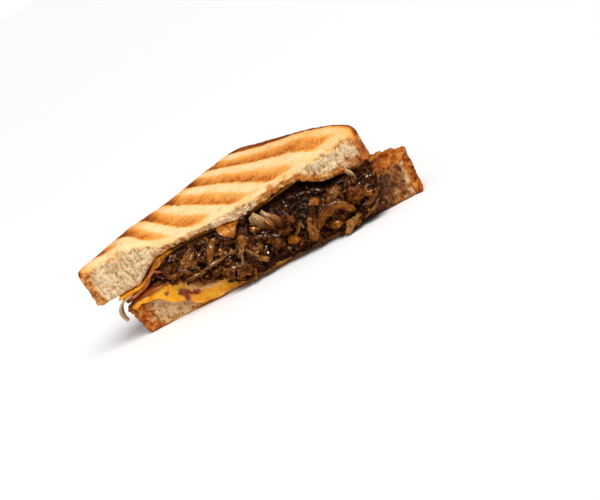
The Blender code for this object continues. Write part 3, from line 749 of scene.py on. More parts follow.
def cheeseFinish():
    made, tree, skin, where = newFinish("melted cheddar")
    pale, bits, browned = (mask(tree, name) for name in ("pale", "bits", "browned"))
    mottled = mottle(tree, where, 130.0, 500.0)
    shade = ramp(tree, mottled["Mask"], [(0.1, colour(250, 152, 12)), (0.9, colour(255, 196, 48))])
    amber = ramp(tree, mottled["Mask"], [
        (0.1, colour(112, 54, 2)), (0.5, colour(176, 98, 5)), (0.9, colour(216, 138, 24)),
    ])
    shade = blend(tree, browned, shade, amber)
    paleMask = ragged(tree, where, pale, 140.0, 1.6)
    shade = blend(tree, times(tree, paleMask, 0.85), shade, colour(236, 178, 112))
    # bits of bacon, the cheese pink round them
    shade = blend(tree, spread(tree, bits, 0.05, 0.6, 0.0, 0.6), shade, colour(236, 134, 66))
    bitMask = ragged(tree, where, bits, 300.0, 2.2)
    streaks = noise(tree, where, 700.0, 3.0)
    gristle = ramp(tree, streaks, [(0.35, colour(96, 22, 6)), (0.7, colour(178, 70, 28))])
    shade = blend(tree, times(tree, bitMask, 0.95), shade, gristle)
    rough = spread(tree, mottled["Mask"], 0.0, 1.0, 0.24, 0.4)
    finishSkin(tree, skin, shade, rough, noise(tree, where, 240.0, 3.0), 0.7 * mm, 0.6, {
        "Subsurface Weight": 0.12, "Subsurface Radius": (0.004, 0.0015, 0.0003),
        "Specular IOR Level": 0.2, "Coat Weight": 0.34, "Coat Roughness": 0.12,
    })
    return made


cheddar = {
    "left": -71.5 * mm, "right": 66 * mm, "cornerAt": 47 * mm,
    # lower edge of the sheet that hangs over the cut: place along it and height, in mm
    "edge": (
        (-71.5, 15.6), (-69.6, 13.6), (-67.6, 14.6), (-65, 15.6), (-60.6, 14.4), (-56.2, 13), (-53.8, 9.8),
        (-49.9, 6.6), (-44.7, 4.6), (-41.3, 2.4), (-37, 0.9), (-30, 0.6), (10, 0.7), (24, 9.4), (66, 9.4),
    ),
    # bits of bacon in it: place, height, the two half sizes, in mm, and how much
    "bits": (
        (-43.6, 11.6, 2.6, 2.7, 0.9), (-40.2, 9, 2.2, 1.6, 0.7), (-37.4, 8.8, 2, 1.5, 0.8),
        (-43, 7.4, 1.4, 2, 0.7), (-51.5, 15.4, 1.7, 1.5, 0.6),
    ),
}


def makeBottomCheese(finish):
    edge = np.array(cheddar["edge"]) * mm

    def sheet(u, v):
        x = cheddar["left"] + (cheddar["right"] - cheddar["left"]) * u
        lowest = np.interp(x, edge[:, 0], edge[:, 1]) + 0.35 * mm * np.sin(x / (1.9 * mm))
        recede = after(26, 44, x)
        front = -hangLength(x, np.maximum(lowest, 0.5 * mm)) * (1 - recede) + 7 * mm * recede
        corner = np.maximum(0, 1 - np.abs(x - cheddar["cornerAt"]) / (13 * mm))
        back = halfCut - np.abs(x - bottomShift) - 4 * mm * after(-71, -64, x) + 17 * mm * corner
        y = front + (back - front) * v ** 1.8
        x, y, z = draped(x, y, fold["gap"] + fold["cheese"] / 2)
        swell = 0.35 * mm * np.sin(x / (4.3 * mm)) * np.sin(z / (3.1 * mm) + x / (7 * mm))
        z = z + 2.2 * mm * hump(-48, 9, x) * until(3, 8, y) * after(-4, -1, y)
        return x, np.where(y < 0, y - swell * (y < -1 * mm), y), z

    piece, _, v = layGrid("cheddar_sheet", 120, 64, sheet)
    lip = np.exp(-((v / 0.03) ** 2)) * (readPoints(piece)[:, 1] < 0)
    writeGroup(piece, "thick", 0.55 + 0.45 * lip)
    thicken(piece, 2.5 * mm, "thick", 0)
    x, y, z = readPoints(piece).T
    lumps = (much * hump(a, wide, x) * hump(b, high, z) for a, b, wide, high, much in cheddar["bits"])
    bits = sum(lumps) * (y < 0)
    pale = (hump(-29, 7.5, x) * hump(10.4, 3.8, z) + 0.8 * hump(-39, 3, x) * hump(13.5, 3, z)) * (y < 0)
    # amber from x = 36 mm on, and a quarter of the way to amber from x = -43 mm towards the meat
    browned = np.maximum(after(36, 46, x), 0.24 * after(-43, -33, x))
    writeGroup(piece, "hang", after(0, 1.5, -y))
    writeGroup(piece, "bit", bits)
    roughen(piece, "CLOUDS", 5 * mm, 1.6 * mm, "hang", noise_depth=2)
    roughen(piece, "CLOUDS", 1.6 * mm, 2.2 * mm, "bit", 0.3, noise_depth=3)
    piece.vertex_groups.clear()
    liftOffFloor(piece)
    writeMasks(piece, {"pale": pale, "bits": bits, "browned": browned})
    settle(piece, "cheddar", finish, "bottom_cheese")


meltedTop = {
    "thick": 1.1 * mm, "bend": 4 * mm, "inset": 12 * mm,
    # the lumps that hang at the cut: middle, half the width, how far they run, in mm
    "runs": ((-7, 6.6, 7.4), (-47, 9, 4.6)),
}


def makeTopCheese(finish):
    bend, thick, gap = meltedTop["bend"], meltedTop["thick"], fold["gap"]

    def sheet(u, v):
        x = -76 * mm + 126 * mm * u
        share, run = np.zeros_like(x), np.zeros_like(x)
        for middle, half, length in meltedTop["runs"]:
            lump = np.clip(1 - ((x / mm - middle) / half) ** 2, 0, 1) ** 0.7
            share = np.maximum(share, lump)
            run = np.maximum(run, length * mm * lump * (0.88 + 0.12 * np.sin(x / (1.1 * mm))))
        hidden = 4 * mm * after(-60, -54, x) + 12 * mm * after(20, 40, x)
        front = -0.8 * mm + hidden * (1 - share) - run - 0.3 * mm * np.sin(x / (2.3 * mm))
        back = halfCut - np.abs(x - topShift) - meltedTop["inset"]
        y = front + (back - front) * v ** 1.8
        turn = np.clip(-y / bend, 0, math.pi / 2)
        drop = np.maximum(-y - bend * math.pi / 2, 0)
        start = topLower(x, 0) - gap - thick / 2 - bend
        z = np.where(y >= 0, topLower(x, y) - gap - thick / 2, start + bend * np.cos(turn) - drop)
        return x, np.where(y >= 0, y, -bend * np.sin(turn)), z

    piece = layGrid("cheddar_under_top", 116, 54, sheet)[0]
    x, y = readPoints(piece).T[:2]
    writeGroup(piece, "thick", 0.5 + 0.5 * hump(-7, 6, x) * (y < -1 * mm))
    thicken(piece, 2.2 * mm, "thick", 0)
    x, y = readPoints(piece).T[:2]
    writeGroup(piece, "run", after(0.4, 2, -y))
    roughen(piece, "CLOUDS", 2.4 * mm, 1.2 * mm, "run", noise_depth=3)
    piece.vertex_groups.clear()
    writeMasks(piece, {"pale": 0, "bits": 0, "browned": after(-62, -56, x)})
    settle(piece, "cheddar", finish, "top_cheese")


bacon = {
    "thick": 1.5 * mm, "lean": 0.1, "ripple": 0.45 * mm,
    # curled end, seen from the front: along and up, in mm
    "curl": (
        (-71, 20.9), (-65, 21.6), (-60, 22.6), (-56, 24.6), (-53, 27.6),
        (-50.5, 28.2), (-47.5, 26), (-44.5, 23.4), (-40, 22), (-35, 21.4),
    ),
}


def baconFinish():
    made, tree, skin, where = newFinish("bacon")
    band = noise(tree, fibres(tree), 1.0, 4.0, 0.6)
    fine = noise(tree, fibres(tree), 5.0, 3.0, 0.6)
    both = timesPlus(tree, fine, 0.3, times(tree, band, 0.7))
    shade = ramp(tree, both, [
        (0.3, colour(86, 26, 6)), (0.45, colour(144, 56, 17)), (0.56, colour(180, 92, 34)),
        (0.64, colour(212, 130, 62)), (0.78, colour(228, 156, 88)),
    ])
    mottled = mottle(tree, where, 150.0, 800.0)
    shade = blend(tree, times(tree, mottled["Mask"], 0.25), shade, colour(96, 32, 8))
    finishSkin(tree, skin, shade, spread(tree, fine, 0.3, 0.7, 0.22, 0.42), both, 0.5 * mm, 0.7, {
        "Specular IOR Level": 0.3, "Coat Weight": 0.3, "Coat Roughness": 0.1,
    })
    return made


def makeStrip(name, node, sheet, columns, rows, alongX, finish):
    piece = layGrid(name, columns, rows, sheet)[0]
    thicken(piece, bacon["thick"])
    roughen(piece, "CLOUDS", 4 * mm, 0.5 * mm, noise_depth=3)
    liftOffFloor(piece)
    x, y, z = readPoints(piece).T
    along, across = (x, y) if alongX else (y + z, x - bacon["lean"] * np.maximum(y, 0))
    writeFibre(piece, np.stack((across / (3.2 * mm), along / (30 * mm), z / (9 * mm)), axis=1))
    settle(piece, "bacon", finish, *node)


def makeBacon():
    lift = 2 * fold["gap"] + fold["cheese"] + bacon["thick"] / 2
    finish = baconFinish()

    def ripple(x, y):
        return bacon["ripple"] * (1 + np.sin(x / (3.4 * mm) + y / (9 * mm)))

    def alongCut(u, v):
        x = -74 * mm + 47 * mm * u
        front = -2.8 * mm + 1.1 * mm * np.sin(x / (4 * mm)) + 2.5 * mm * after(-40, -28, x)
        back = np.minimum(halfCut - np.abs(x - bottomShift) - 6 * mm * after(-70, -62, x), 25 * mm)
        y = front + (back - front) * v
        droop = 3.4 * mm * until(-74.5, -67, x)
        z = bottomUpper(x, y) + lift + 1.6 * ripple(x, y) - np.maximum(-y, 0) * 0.6 - droop
        return x, y, z

    def throughFood(u, v):
        x = -16 * mm + 33 * mm * u
        low = 1.5 * mm + 1.3 * mm * after(-6, 12, x) + 0.9 * mm * np.sin(x / (3 * mm))
        front = -hangLength(x, low)
        back = 74 * mm - 0.15 * x
        y = front + (back - front) * v ** 1.3
        x, y, z = draped(x + bacon["lean"] * np.maximum(y, 0), y, lift)
        return x, y - 0.4 * mm * np.sin(x / (2.6 * mm)) * (y < -1 * mm), z + ripple(x, y) * (y > 0)

    curl = np.array(bacon["curl"]) * mm

    def curled(u, v):
        x, z = interpolate(u * (len(curl) - 1), curl).T
        back = np.minimum(halfCut - np.abs(x - bottomShift) - 5 * mm, 13 * mm)
        y = -4.2 * mm + 0.9 * mm * np.sin(x / (2.6 * mm)) + (back + 4.2 * mm) * v
        return x, y, z + 0.7 * mm * np.sin(x / (3 * mm) + 5 * v) * v

    makeStrip("bacon_along_cut", ["bacon_left"], alongCut, 70, 40, True, finish)
    makeStrip("bacon_curl", [], curled, 60, 24, True, finish)
    makeStrip("bacon_through_food", ["bacon_through"], throughFood, 44, 104, False, finish)


onion = {
    # middle x and z, length, width, all in mm, and lean
    "petals": ((9.2, 25.4, 10, 7.4, 0.45), (12.6, 22.4, 9.5, 6.2, 0.5), (17.2, 21.6, 12.5, 7, 0.6)),
    "between": (14.2, 25.8, 8, 4, 0.5),
    "film": (5.6, 23.2, 5, 3.2, 1.2),
    "shard": (58.3, 24.4, 5.6, 2.4, 0.25),
    # the strip at the left end: along and up
    "end": (
        (-68, 22.2), (-71.5, 22), (-75.2, 21), (-77.4, 18.8), (-78.4, 16.2), (-78.4, 13.7), (-77.6, 11.3),
    ),
}


def onionFinish(name, light, dark, veinScale, through):
    # light at the rim, on the slices partly painted highlight and partly the onion's paler edge; deeper and
    # clearer in the middle
    made, tree, skin, where = newFinish(name)
    turned = put(tree, "Mapping", {"Vector": where, "Rotation": (0, 0.1, 0), "Scale": (veinScale, 120, 60)})
    vein = noise(tree, turned.outputs[0], 1.0, 3.0, 0.6)
    mottled = mottle(tree, where, 160.0, 600.0)
    lit = wander(tree, vein, 1.3, timesPlus(tree, mask(tree, "edge"), 0.85, 0.16))
    shade = ramp(tree, lit, [(0.1, dark), (0.85, light)])
    shade = blend(tree, times(tree, mottled["Mask"], 0.3), shade, dark)
    finishSkin(tree, skin, shade, spread(tree, vein, 0.2, 0.8, 0.1, 0.28), vein, 0.5 * mm, 0.7, {
        "Subsurface Weight": 0.3, "Subsurface Radius": (0.003, 0.0018, 0.0008),
        "Transmission Weight": through, "Coat Weight": 0.5, "Coat Roughness": 0.1,
    })
    return made


def makeOnion():
    def lay(name, kind, depth, finish, stand, tilt, node=(), thick=0.7):
        # a curved leaf lying along the heap, its right-hand edge lifted clear; all in mm
        x, z, length, width, lean = kind
        down = unit(np.array((lean, 0, -1)))
        side = np.array((-down[2], 0, down[0]))

        def leaf(u, v):
            a, b = 2 * u - 1, 2 * v - 1
            half = width / 2 * np.sqrt(1 - 0.75 * a * a)
            bow = 0.4 * (1 - a * a)
            out = stand * (0.6 - a * a - 0.8 * a ** 4) + tilt * b * (1 - 0.5 * a * a) - 0.9 * b * b
            out = out + 0.16 * np.sin(9 * b + 2 * a)
            spot = np.array((x, depth, z)) + np.outer(a * length / 2, down) + np.outer(b * half + bow, side)
            return spot[:, 0] * mm, (spot[:, 1] - out) * mm, spot[:, 2] * mm

        piece, u, v = layGrid(name, 34, 16, leaf)
        # painted highlight, partly the onion's own paler edge: lighter at the top end and along the lifted
        # edge
        rim = 0.5 * (1 - ease(0, 0.9, u)) + 0.8 * ease(0.55, 0.95, v)
        writeMasks(piece, {"edge": rim * (1 - 0.5 * u)})
        thicken(piece, thick * mm)
        roughen(piece, "CLOUDS", 2.2 * mm, 0.5 * mm, noise_depth=2)
        settle(piece, "onion", finish, *node)

    glassy = onionFinish("cooked onion", colour(186, 118, 50), colour(62, 26, 3), 300.0, 0.35)
    clear = onionFinish("clear onion", colour(240, 196, 134), colour(96, 46, 8), 260.0, 0.35)
    amber = onionFinish("amber onion", colour(216, 128, 38), colour(96, 42, 3), 280.0, 0.35)
    for number, (petal, shade) in enumerate(zip(onion["petals"], (clear, amber, glassy))):
        node = [f"onion_petal_{number + 1}"]
        lay(f"onion_slice_{number + 1}", petal, -6.2 - 0.75 * number, shade, 1.6, 1.2, node)
    lay("onion_layer_1", onion["between"], -6.5, clear, 1.6, 1)
    lay("onion_film", onion["film"], -7.2, amber, 1.4, 0.3)
    lay("onion_shard", onion["shard"], -2.4, clear, 0.3, 0.3, thick=1.1)

    end = np.array(onion["end"]) * mm

    def hanging(u, v):
        x, z = interpolate(u * (len(end) - 1), end).T
        y = -0.4 * mm + 2.9 * mm * (2 * v - 1) * (1 - 0.55 * ease(0.55, 1, u))
        return x + 0.5 * mm * np.sin(3 * v), y, z

    piece, _, v = layGrid("onion_strip", 36, 14, hanging)
    addStep(piece, "SMOOTH", factor=0.5, iterations=4)
    writeMasks(piece, {"edge": np.abs(2 * v - 1) * 0.6})
    thicken(piece, 1.1 * mm)
    pale = onionFinish("soft onion", colour(242, 208, 168), colour(178, 134, 90), 400.0, 0.25)
    settle(piece, "onion", pale, "onion_end")
    print("cheese, bacon and onion laid")


melted = cheeseFinish()
makeBottomCheese(melted)
makeTopCheese(melted)
makeBacon()
makeOnion()


# a dark, saucy core with the real shreds, chunks and onion dice over it
pork = {
    "coreVoxel": 0.9 * mm, "shrink": 2.4 * mm, "shreds": 400, "strands": 620, "chunks": 70, "dice": 20,
    "nearest": -10.4 * mm, "lowest": 0.4 * mm, "clear": 2.2 * mm, "seed": 9, "bits": 420, "torn": 0.14 * mm,
    "sauce": 0.58,
    # the dark hollow under the right of the top slice, its limits in mm
    "hollow": {"left": 20, "right": 44, "above": 25, "depth": 7 * mm},
    # left, right, low and high of what shows on its own, in mm: onion slices, cheese, hollow, bacon
    "keepClear": ((6, 20, 19.5, 30), (-13, -2, 25.5, 34), (21, 42, 26, 60), (-12, 18, -1, 6.5)),
}
porkDraw = random.Random(pork["seed"])


def meatFinish():
    made, tree, skin, where = newFinish("pulled pork")
    streak = noise(tree, fibres(tree), 1.0, 4.0, 0.6)
    broad = noise(tree, where, 420.0, 4.0, 0.7)
    # the meat's own tone, with painted shade from the heap's layers and from the top slice above
    value = wander(tree, streak, 1.3, less(tree, mask(tree, "tone"), 0.04))
    value = wander(tree, broad, 1.1, value, clamp=True)
    shade = ramp(tree, value, [
        (0.0, colour(30, 9, 1)), (0.25, colour(74, 29, 5)), (0.5, colour(134, 68, 17)),
        (0.75, colour(190, 114, 42)), (1.0, colour(240, 176, 98)),
    ])
    wet = ragged(tree, where, pork["sauce"], 240.0, 0.9)
    shade = blend(tree, times(tree, wet, 0.45), shade, colour(52, 16, 4))
    rough = spread(tree, wet, 0.0, 1.0, 0.46, 0.2)
    height = timesPlus(tree, broad, 0.9, times(tree, streak, 1.6))
    height = timesPlus(tree, noise(tree, where, 1500.0, 3.0, 0.6), 0.6, height)
    finishSkin(tree, skin, shade, rough, height, 0.9 * mm, 1.0, {
        "Coat Weight": times(tree, wet, 0.9), "Coat Roughness": 0.09, "Specular IOR Level": 0.05,
    })
    return made


def sauceFinish():
    made, tree, skin, where = newFinish("dark sauce")
    mottled = mottle(tree, where, 170.0, 620.0)
    shade = ramp(tree, mottled["Mask"], [
        (0.2, colour(20, 5, 0)), (0.6, colour(60, 20, 3)), (0.95, colour(120, 54, 10)),
    ])
    rough = spread(tree, mottled["Mask"], 0.2, 0.9, 0.16, 0.4)
    finishSkin(tree, skin, shade, rough, noise(tree, where, 620.0, 5.0, 0.7), 1.4 * mm, 1.0, {
        "Coat Weight": 0.7, "Coat Roughness": 0.06, "Specular IOR Level": 0.1,
    })
    return made


def makeCore():
    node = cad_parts["pulled_pork"]
    deselectAll()
    piece = newObject("pork_core", node.data.copy())
    focus(piece)
    bpy.ops.object.mode_set(mode="EDIT")
    bpy.ops.mesh.select_all(action="SELECT")
    bpy.ops.mesh.remove_doubles(threshold=0.00001)
    bpy.ops.object.mode_set(mode="OBJECT")
    writePoints(piece, readPoints(piece) - cutOrigin)
    addStep(piece, "REMESH", mode="VOXEL", voxel_size=pork["coreVoxel"])
    addStep(piece, "SMOOTH", factor=0.7, iterations=5)
    addStep(piece, "DISPLACE", strength=-pork["shrink"], mid_level=0)
    roughen(piece, "CLOUDS", 3 * mm, 1.8 * mm, noise_depth=4)
    points, normals = readPoints(piece), readPoints(piece, "normal")
    x, y, z = points[:, 0], points[:, 1], points[:, 2]
    # fill up to the cheese above, so nothing shows through
    ceiling = topLower(x, y) - pork["clear"]
    under = crustDistance(x, y, topShift) > 2 * mm
    x = x - 10 * mm * until(-54, -36, x) * window(3, 20, 4, y)
    rise = np.where(under & (normals[:, 2] > 0.3) & (ceiling - z < 9 * mm), ceiling - z, 0)
    z = z + rise * after(0, 4, y)
    hollow = pork["hollow"]
    sunk = window(hollow["left"], hollow["right"], 4, x) * after(hollow["above"] - 3, hollow["above"], z)
    y = y + hollow["depth"] * sunk * until(0, 12, y)
    # back from the cheese that hangs below its left part
    y = y + 6 * mm * until(-20, -15, x) * until(12, 20, z) * until(0, 12, y)
    writePoints(piece, np.stack((x, y, np.maximum(z, pork["lowest"])), axis=1))
    return piece


def surfaceOf(piece):
    # triangles to scatter on, and a search tree
    mesh = piece.data
    mesh.calc_loop_triangles()
    corners = np.empty(len(mesh.loop_triangles) * 3, dtype=np.int64)
    mesh.loop_triangles.foreach_get("vertices", corners)
    points = readPoints(piece)[corners.reshape(-1, 3)]
    cross = np.cross(points[:, 1] - points[:, 0], points[:, 2] - points[:, 0])
    size = np.linalg.norm(cross, axis=1)
    tree = BVHTree.FromPolygons(readPoints(piece).tolist(), corners.reshape(-1, 3).tolist())
    normals = cross / np.maximum(size, 1e-12)[:, None]
    return {"points": points, "area": size / 2, "normal": normals, "tree": tree}


def showingPlaces(surface, zone, count):
    # random places, spread by area over the part of the surface that shows in a zone
    middle = surface["points"].mean(axis=1)
    inside = np.nonzero(zone(middle, surface["normal"]))[0]
    chosen = porkDraw.choices(inside.tolist(), surface["area"][inside].tolist(), k=count)
    places = []
    for number in chosen:
        u, v = sorted((porkDraw.random(), porkDraw.random()))
        a, b, c = surface["points"][number]
        places.append((a * u + b * (v - u) + c * (1 - v), surface["normal"][number]))
    return places


def frontZone(middle, normal):
    return (middle[:, 1] < 1.5 * mm) & (normal[:, 1] < -0.1)


def rightZone(middle, normal):
    x, y = middle[:, 0], middle[:, 1]
    outward = (normal[:, 0] + normal[:, 1] > 0) | (normal[:, 2] > 0.3)
    return (crustDistance(x, y, bottomShift) < 1 * mm) & (x > 8 * mm) & (y > 20 * mm) & outward


def leftZone(middle, normal):
    x, y = middle[:, 0], middle[:, 1]
    outward = normal[:, 1] - normal[:, 0] > 0
    return (crustDistance(x, y, bottomShift) < 1 * mm) & (x < 8 * mm) & (y > 12 * mm) & outward


def asShape(piece, points):
    # the points and faces to copy from, and the piece itself is put away
    faces = [tuple(face.vertices) for face in piece.data.polygons]
    bpy.data.objects.remove(piece)
    return points, faces


def modelShred(name, sides, cuts, seed):
    # one strand, one unit long and wide: a cylinder cut into rings, grooved along and torn at the ends
    draw = random.Random(seed)
    deselectAll()
    bpy.ops.mesh.primitive_cylinder_add(
        vertices=sides, radius=0.5, depth=1, end_fill_type="TRIFAN", location=(0, 0, 0.5),
    )
    piece = started(name)
    bpy.ops.object.transform_apply(location=True, rotation=True, scale=True)
    bpy.ops.object.mode_set(mode="EDIT")
    pick(piece, "EDGE", lambda edge: abs(edge.verts[0].co.z - edge.verts[1].co.z) > 0.5)
    bpy.ops.mesh.subdivide(number_cuts=cuts)
    bpy.ops.object.mode_set(mode="OBJECT")
    points = readPoints(piece)
    along = points[:, 2]
    angle = np.arctan2(points[:, 1], points[:, 0]) + 1.2 * along * draw.uniform(-1, 1)
    groove = 1 + 0.16 * np.sin(3 * angle + draw.uniform(0, 6)) + 0.13 * np.sin(5 * angle + draw.uniform(0, 6))
    swell = 0.35 + 0.65 * np.sin(math.pi * np.clip(along, 0.02, 0.98)) ** draw.uniform(0.35, 0.8)
    swell *= 1 + 0.14 * np.sin(along * draw.uniform(9, 16) + draw.uniform(0, 6))
    ends = np.where((along < 0.001) | (along > 0.999), draw.uniform(0.3, 0.8), 1)
    points[:, 0] *= groove * swell * ends
    points[:, 1] *= groove * swell * ends
    fray = 0.07 * np.sin(angle * 4 + draw.uniform(0, 6)) * ((along < 0.001) | (along > 0.999))
    points[:, 2] += fray
    return asShape(piece, points)


def modelChunk(name, levels, seed):
    # one torn lump, one unit across
    deselectAll()
    bpy.ops.mesh.primitive_ico_sphere_add(subdivisions=levels, radius=0.5, location=(0, 0, 0))
    piece = started(name)
    points = readPoints(piece)
    writePoints(piece, points + seed)
    roughen(piece, "CLOUDS", 0.42, 0.5, noise_depth=4)
    roughen(piece, "VORONOI", 0.3, -0.12, distance_metric="DISTANCE")
    points = readPoints(piece) - seed
    return asShape(piece, points)


def modelDice(name):
    # one piece of diced onion, its corners cooked round
    deselectAll()
    bpy.ops.mesh.primitive_cube_add(size=1, location=(0, 0, 0))
    piece = started(name)
    bpy.ops.object.mode_set(mode="EDIT")
    bpy.ops.mesh.select_all(action="SELECT")
    bpy.ops.mesh.subdivide(number_cuts=4, smoothness=0.12)
    bpy.ops.mesh.bevel(offset=0.08, segments=1, affect="EDGES")
    bpy.ops.object.mode_set(mode="OBJECT")
    addStep(piece, "SMOOTH", factor=0.5, iterations=1)
    roughen(piece, "CLOUDS", 0.5, 0.32, noise_depth=2)
    points = readPoints(piece)
    points[:, 2] += 0.28 * points[:, 0] ** 2
    return asShape(piece, points)


class Tray:
    # gathers the copies of one kind into one mesh
    def __init__(self):
        self.points, self.faces, self.tone, self.fibre, self.count = [], [], [], [], 0

    def add(self, points, faces, tone, fibre):
        self.faces += [tuple(corner + self.count for corner in face) for face in faces]
        self.points.append(points)
        self.tone.append(np.full(len(points), tone))
        self.fibre.append(fibre + np.array([porkDraw.uniform(0, 90) for _ in range(3)]))
        self.count += len(points)

    def serve(self, name):
        mesh = bpy.data.meshes.new(name)
        points = np.concatenate(self.points)
        points[:, 1] = np.maximum(points[:, 1], pork["nearest"])
        points += pork["torn"] * tornNoise(points)
        ceiling = topLower(points[:, 0], np.maximum(points[:, 1], 0)) - pork["clear"]
        under = crustDistance(points[:, 0], points[:, 1], topShift) > 2 * mm
        points[:, 2] = np.where(under, np.minimum(points[:, 2], ceiling), points[:, 2])
        points[:, 2] = np.maximum(points[:, 2], pork["lowest"])
        mesh.from_pydata(points.tolist(), [], self.faces)
        piece = newObject(name, mesh)
        writeMasks(piece, {"tone": np.concatenate(self.tone)})
        writeFibre(piece, np.concatenate(self.fibre))
        return piece


def tornNoise(points):
    # fine unevenness of torn meat, a few waves of different directions
    drawn = np.random.default_rng(pork["seed"])
    total = np.zeros_like(points)
    for size in (2.6 * mm, 1.7 * mm, 1.1 * mm, 0.8 * mm):
        for _ in range(3):
            ahead = drawn.normal(size=3)
            ahead *= 2 * math.pi / size / np.linalg.norm(ahead)
            wave = np.sin(points @ ahead + drawn.uniform(0, 6))
            total += np.outer(wave, drawn.normal(size=3)) * size / (2.6 * mm)
    return total


def walk(tree, place, heading, length, steps, curl):
    # a path that follows the surface from its middle both ways
    sides = []
    for sign in (1, -1):
        spot, ahead, found = Vector(place), Vector(heading) * sign, []
        for _ in range(steps // 2 + 1):
            near, normal = tree.find_nearest(spot)[:2]
            ahead = (ahead - normal * ahead.dot(normal)).normalized()
            found.append((np.array(near), np.array(normal)))
            ahead = Matrix.Rotation(curl * sign, 3, normal) @ ahead
            spot = near + ahead * (length / steps)
        sides.append(found)
    path = sides[1][:0:-1] + sides[0]
    return [np.array(rows) for rows in zip(*path)]


def bendAlong(shape, path, normals, width, thick, lift, arch):
    # wraps a unit strand along a path: its length on Z, its width across the path, its depth off the surface
    points, faces = shape
    at = np.clip(points[:, 2], 0, 1) * (len(path) - 1)
    tangents = np.gradient(path, axis=0)
    tangents /= np.maximum(np.linalg.norm(tangents, axis=1), 1e-9)[:, None]
    sides = np.cross(tangents, normals)
    sides /= np.maximum(np.linalg.norm(sides, axis=1), 1e-9)[:, None]
    reach = np.linspace(-1, 1, len(path))
    rise = lift + arch * reach ** 2 * np.sign(reach)
    middle = path + normals * rise[:, None]
    place, across, out, ahead = (interpolate(at, rows) for rows in (middle, sides, normals, tangents))
    spare = (points[:, 2] - np.clip(points[:, 2], 0, 1)) * width
    laid = place + across * (points[:, :1] * width) + out * (points[:, 1:2] * thick) + ahead * spare[:, None]
    length = np.linalg.norm(np.diff(path, axis=0), axis=1).sum()
    fibre = np.stack((points[:, 0] * 9, points[:, 1] * 9, points[:, 2] * length / (9 * mm)), axis=1)
    return laid, faces, fibre


def kept(place):
    x, z = place[0] / mm, place[2] / mm
    return not any(left < x < right and low < z < high for left, right, low, high in pork["keepClear"])


def scatteredPlaces(surface, zones, count):
    # each with its zone and how far down that zone's list it comes, from 0 to 1
    for zone, share in zones:
        places = showingPlaces(surface, zone, int(count * share))
        for number, (place, normal) in enumerate(places):
            if zone is not frontZone or kept(place):
                yield zone, number / len(places), place, normal


def toneAt(place):
    x, z = place[0] / mm, place[2] / mm
    # painted shade: lower values under the right of the top slice and near the top of the heap
    paintedShade = 0.36 * float(hump(32, 26, x * mm) * after(12, 24, z * mm)) + 0.12 * float(after(20, 30, z * mm))
    return min(max(0.56 - paintedShade + porkDraw.uniform(-0.34, 0.24), 0.04), 0.95)


# what stands out in the heap, all in mm
standing = {
    # path along and up, width, thickness, lift, brightness: the meat's own, with painted shade
    "strands": (
        (((-36.4, 17.3), (-5.9, 19)), 1.5, 1.4, 3, 0.84),
        (((-36.4, 17.3), (-25.5, 18)), 2.9, 1.6, 3, 0.8),
        (((-21.1, 14.9), (-19.2, 11.8), (-16.3, 8.5)), 1.6, 1.3, 4.3, 0.72),
        (((-17, 16.2), (-15.5, 12), (-13.6, 7)), 2.2, 1.4, 4.0, 0.76),
        (((-24.5, 15), (-20, 15.6), (-16.5, 13.5)), 1.4, 1.2, 4.4, 0.66),
        (((-6.5, 19.8), (-1, 15.5), (3.5, 11.5), (7.9, 7.6)), 3.6, 1.2, 4.2, 0.8),
        (((-5.3, 17.4), (-7, 14.8), (-8.2, 12.2)), 2.0, 1.4, 4.1, 0.78),
        (((-12.6, 31.6), (-16.8, 26.2), (-22.4, 18.8)), 3.8, 2.2, 5.2, 0.72),
        (((34, 11.6), (41, 14.8), (47.5, 15.2), (52.4, 8.8)), 5.2, 1.8, 4.0, 0.6),
        (((32.6, 17), (31.2, 11), (28.4, 4.8)), 5.4, 2.2, 3.8, 0.72),
        (((53, 7.5), (48, 4.5), (43, 1.6)), 3.6, 2.4, 4.0, 0.85),
        (((20.9, 11.6), (25, 13), (28.6, 17.6)), 1.3, 1.1, 4.3, 0.78),
        (((-44, 20), (-38, 22.5), (-33, 22.2)), 3.2, 1.6, 3.4, 0.55),
        (((-29, 30), (-25, 25.5), (-24, 21)), 2.6, 1.6, 3.6, 0.5),
        (((-38, 24), (-33, 20.5), (-30.5, 17)), 1.5, 1.2, 4.0, 0.66),
        (((-27, 11), (-21, 13.5), (-15, 12)), 2.4, 1.5, 3.8, 0.62),
        (((-20, 7), (-14, 9), (-11, 13)), 1.8, 1.4, 4.0, 0.6),
        (((58, 9), (64, 10.5), (69, 14)), 2.2, 1.4, 2.6, 0.6),
        (((56, 4), (61, 6), (66, 8)), 1.6, 1.2, 2.8, 0.74),
        (((-3, 10), (-6, 5), (-7, 2)), 1.8, 1.4, 3.9, 0.72),
        (((3.5, 20.8), (8, 18.6), (12.5, 16.8), (16.5, 15.4)), 2.2, 1.6, 4.8, 0.4),
        (((15.5, 16.6), (19.5, 16), (23.5, 17.2)), 2.4, 1.6, 4.9, 0.46),
        (((20.6, 27.5), (22, 23), (20.4, 18.6)), 2.0, 1.6, 4.6, 0.3),
        (((-15.5, 30.5), (-12.6, 26.5), (-9.5, 24)), 2.4, 1.6, 5, 0.34),
    ),
    # x, z, length, width, turn, brightness: the meat's own, with painted shade
    "chunks": (
        (-32, 24.6, 10.5, 6, -0.45, 0.74),
        (-10.5, 7.5, 12, 9, 0.5, 0.5),
        (47.5, 19.5, 9, 6, -0.3, 0.66),
        (58, 16.5, 12, 8, -0.35, 0.55),
        (24, 22, 7, 5, 0.4, 0.4),
        (-42, 25, 7, 5, 0.2, 0.5),
        (12, 12.5, 7, 6, 0.8, 0.5),
    ),
    # x, z, size
    "dice": (
        (44, 5.2, 7.5), (21, 8, 7), (0.5, 15.5, 5), (-21, 12, 4), (-3, 21, 5), (38, 21, 4),
    ),
}


def onFront(surface, x, z):
    found = surface["tree"].ray_cast(Vector((x * mm, -0.05, z * mm)), Vector((0, 1, 0)))
    if found[0] is None:
        found = surface["tree"].find_nearest(Vector((x * mm, -0.006, z * mm)))
    return np.array(found[0]), np.array(found[1])


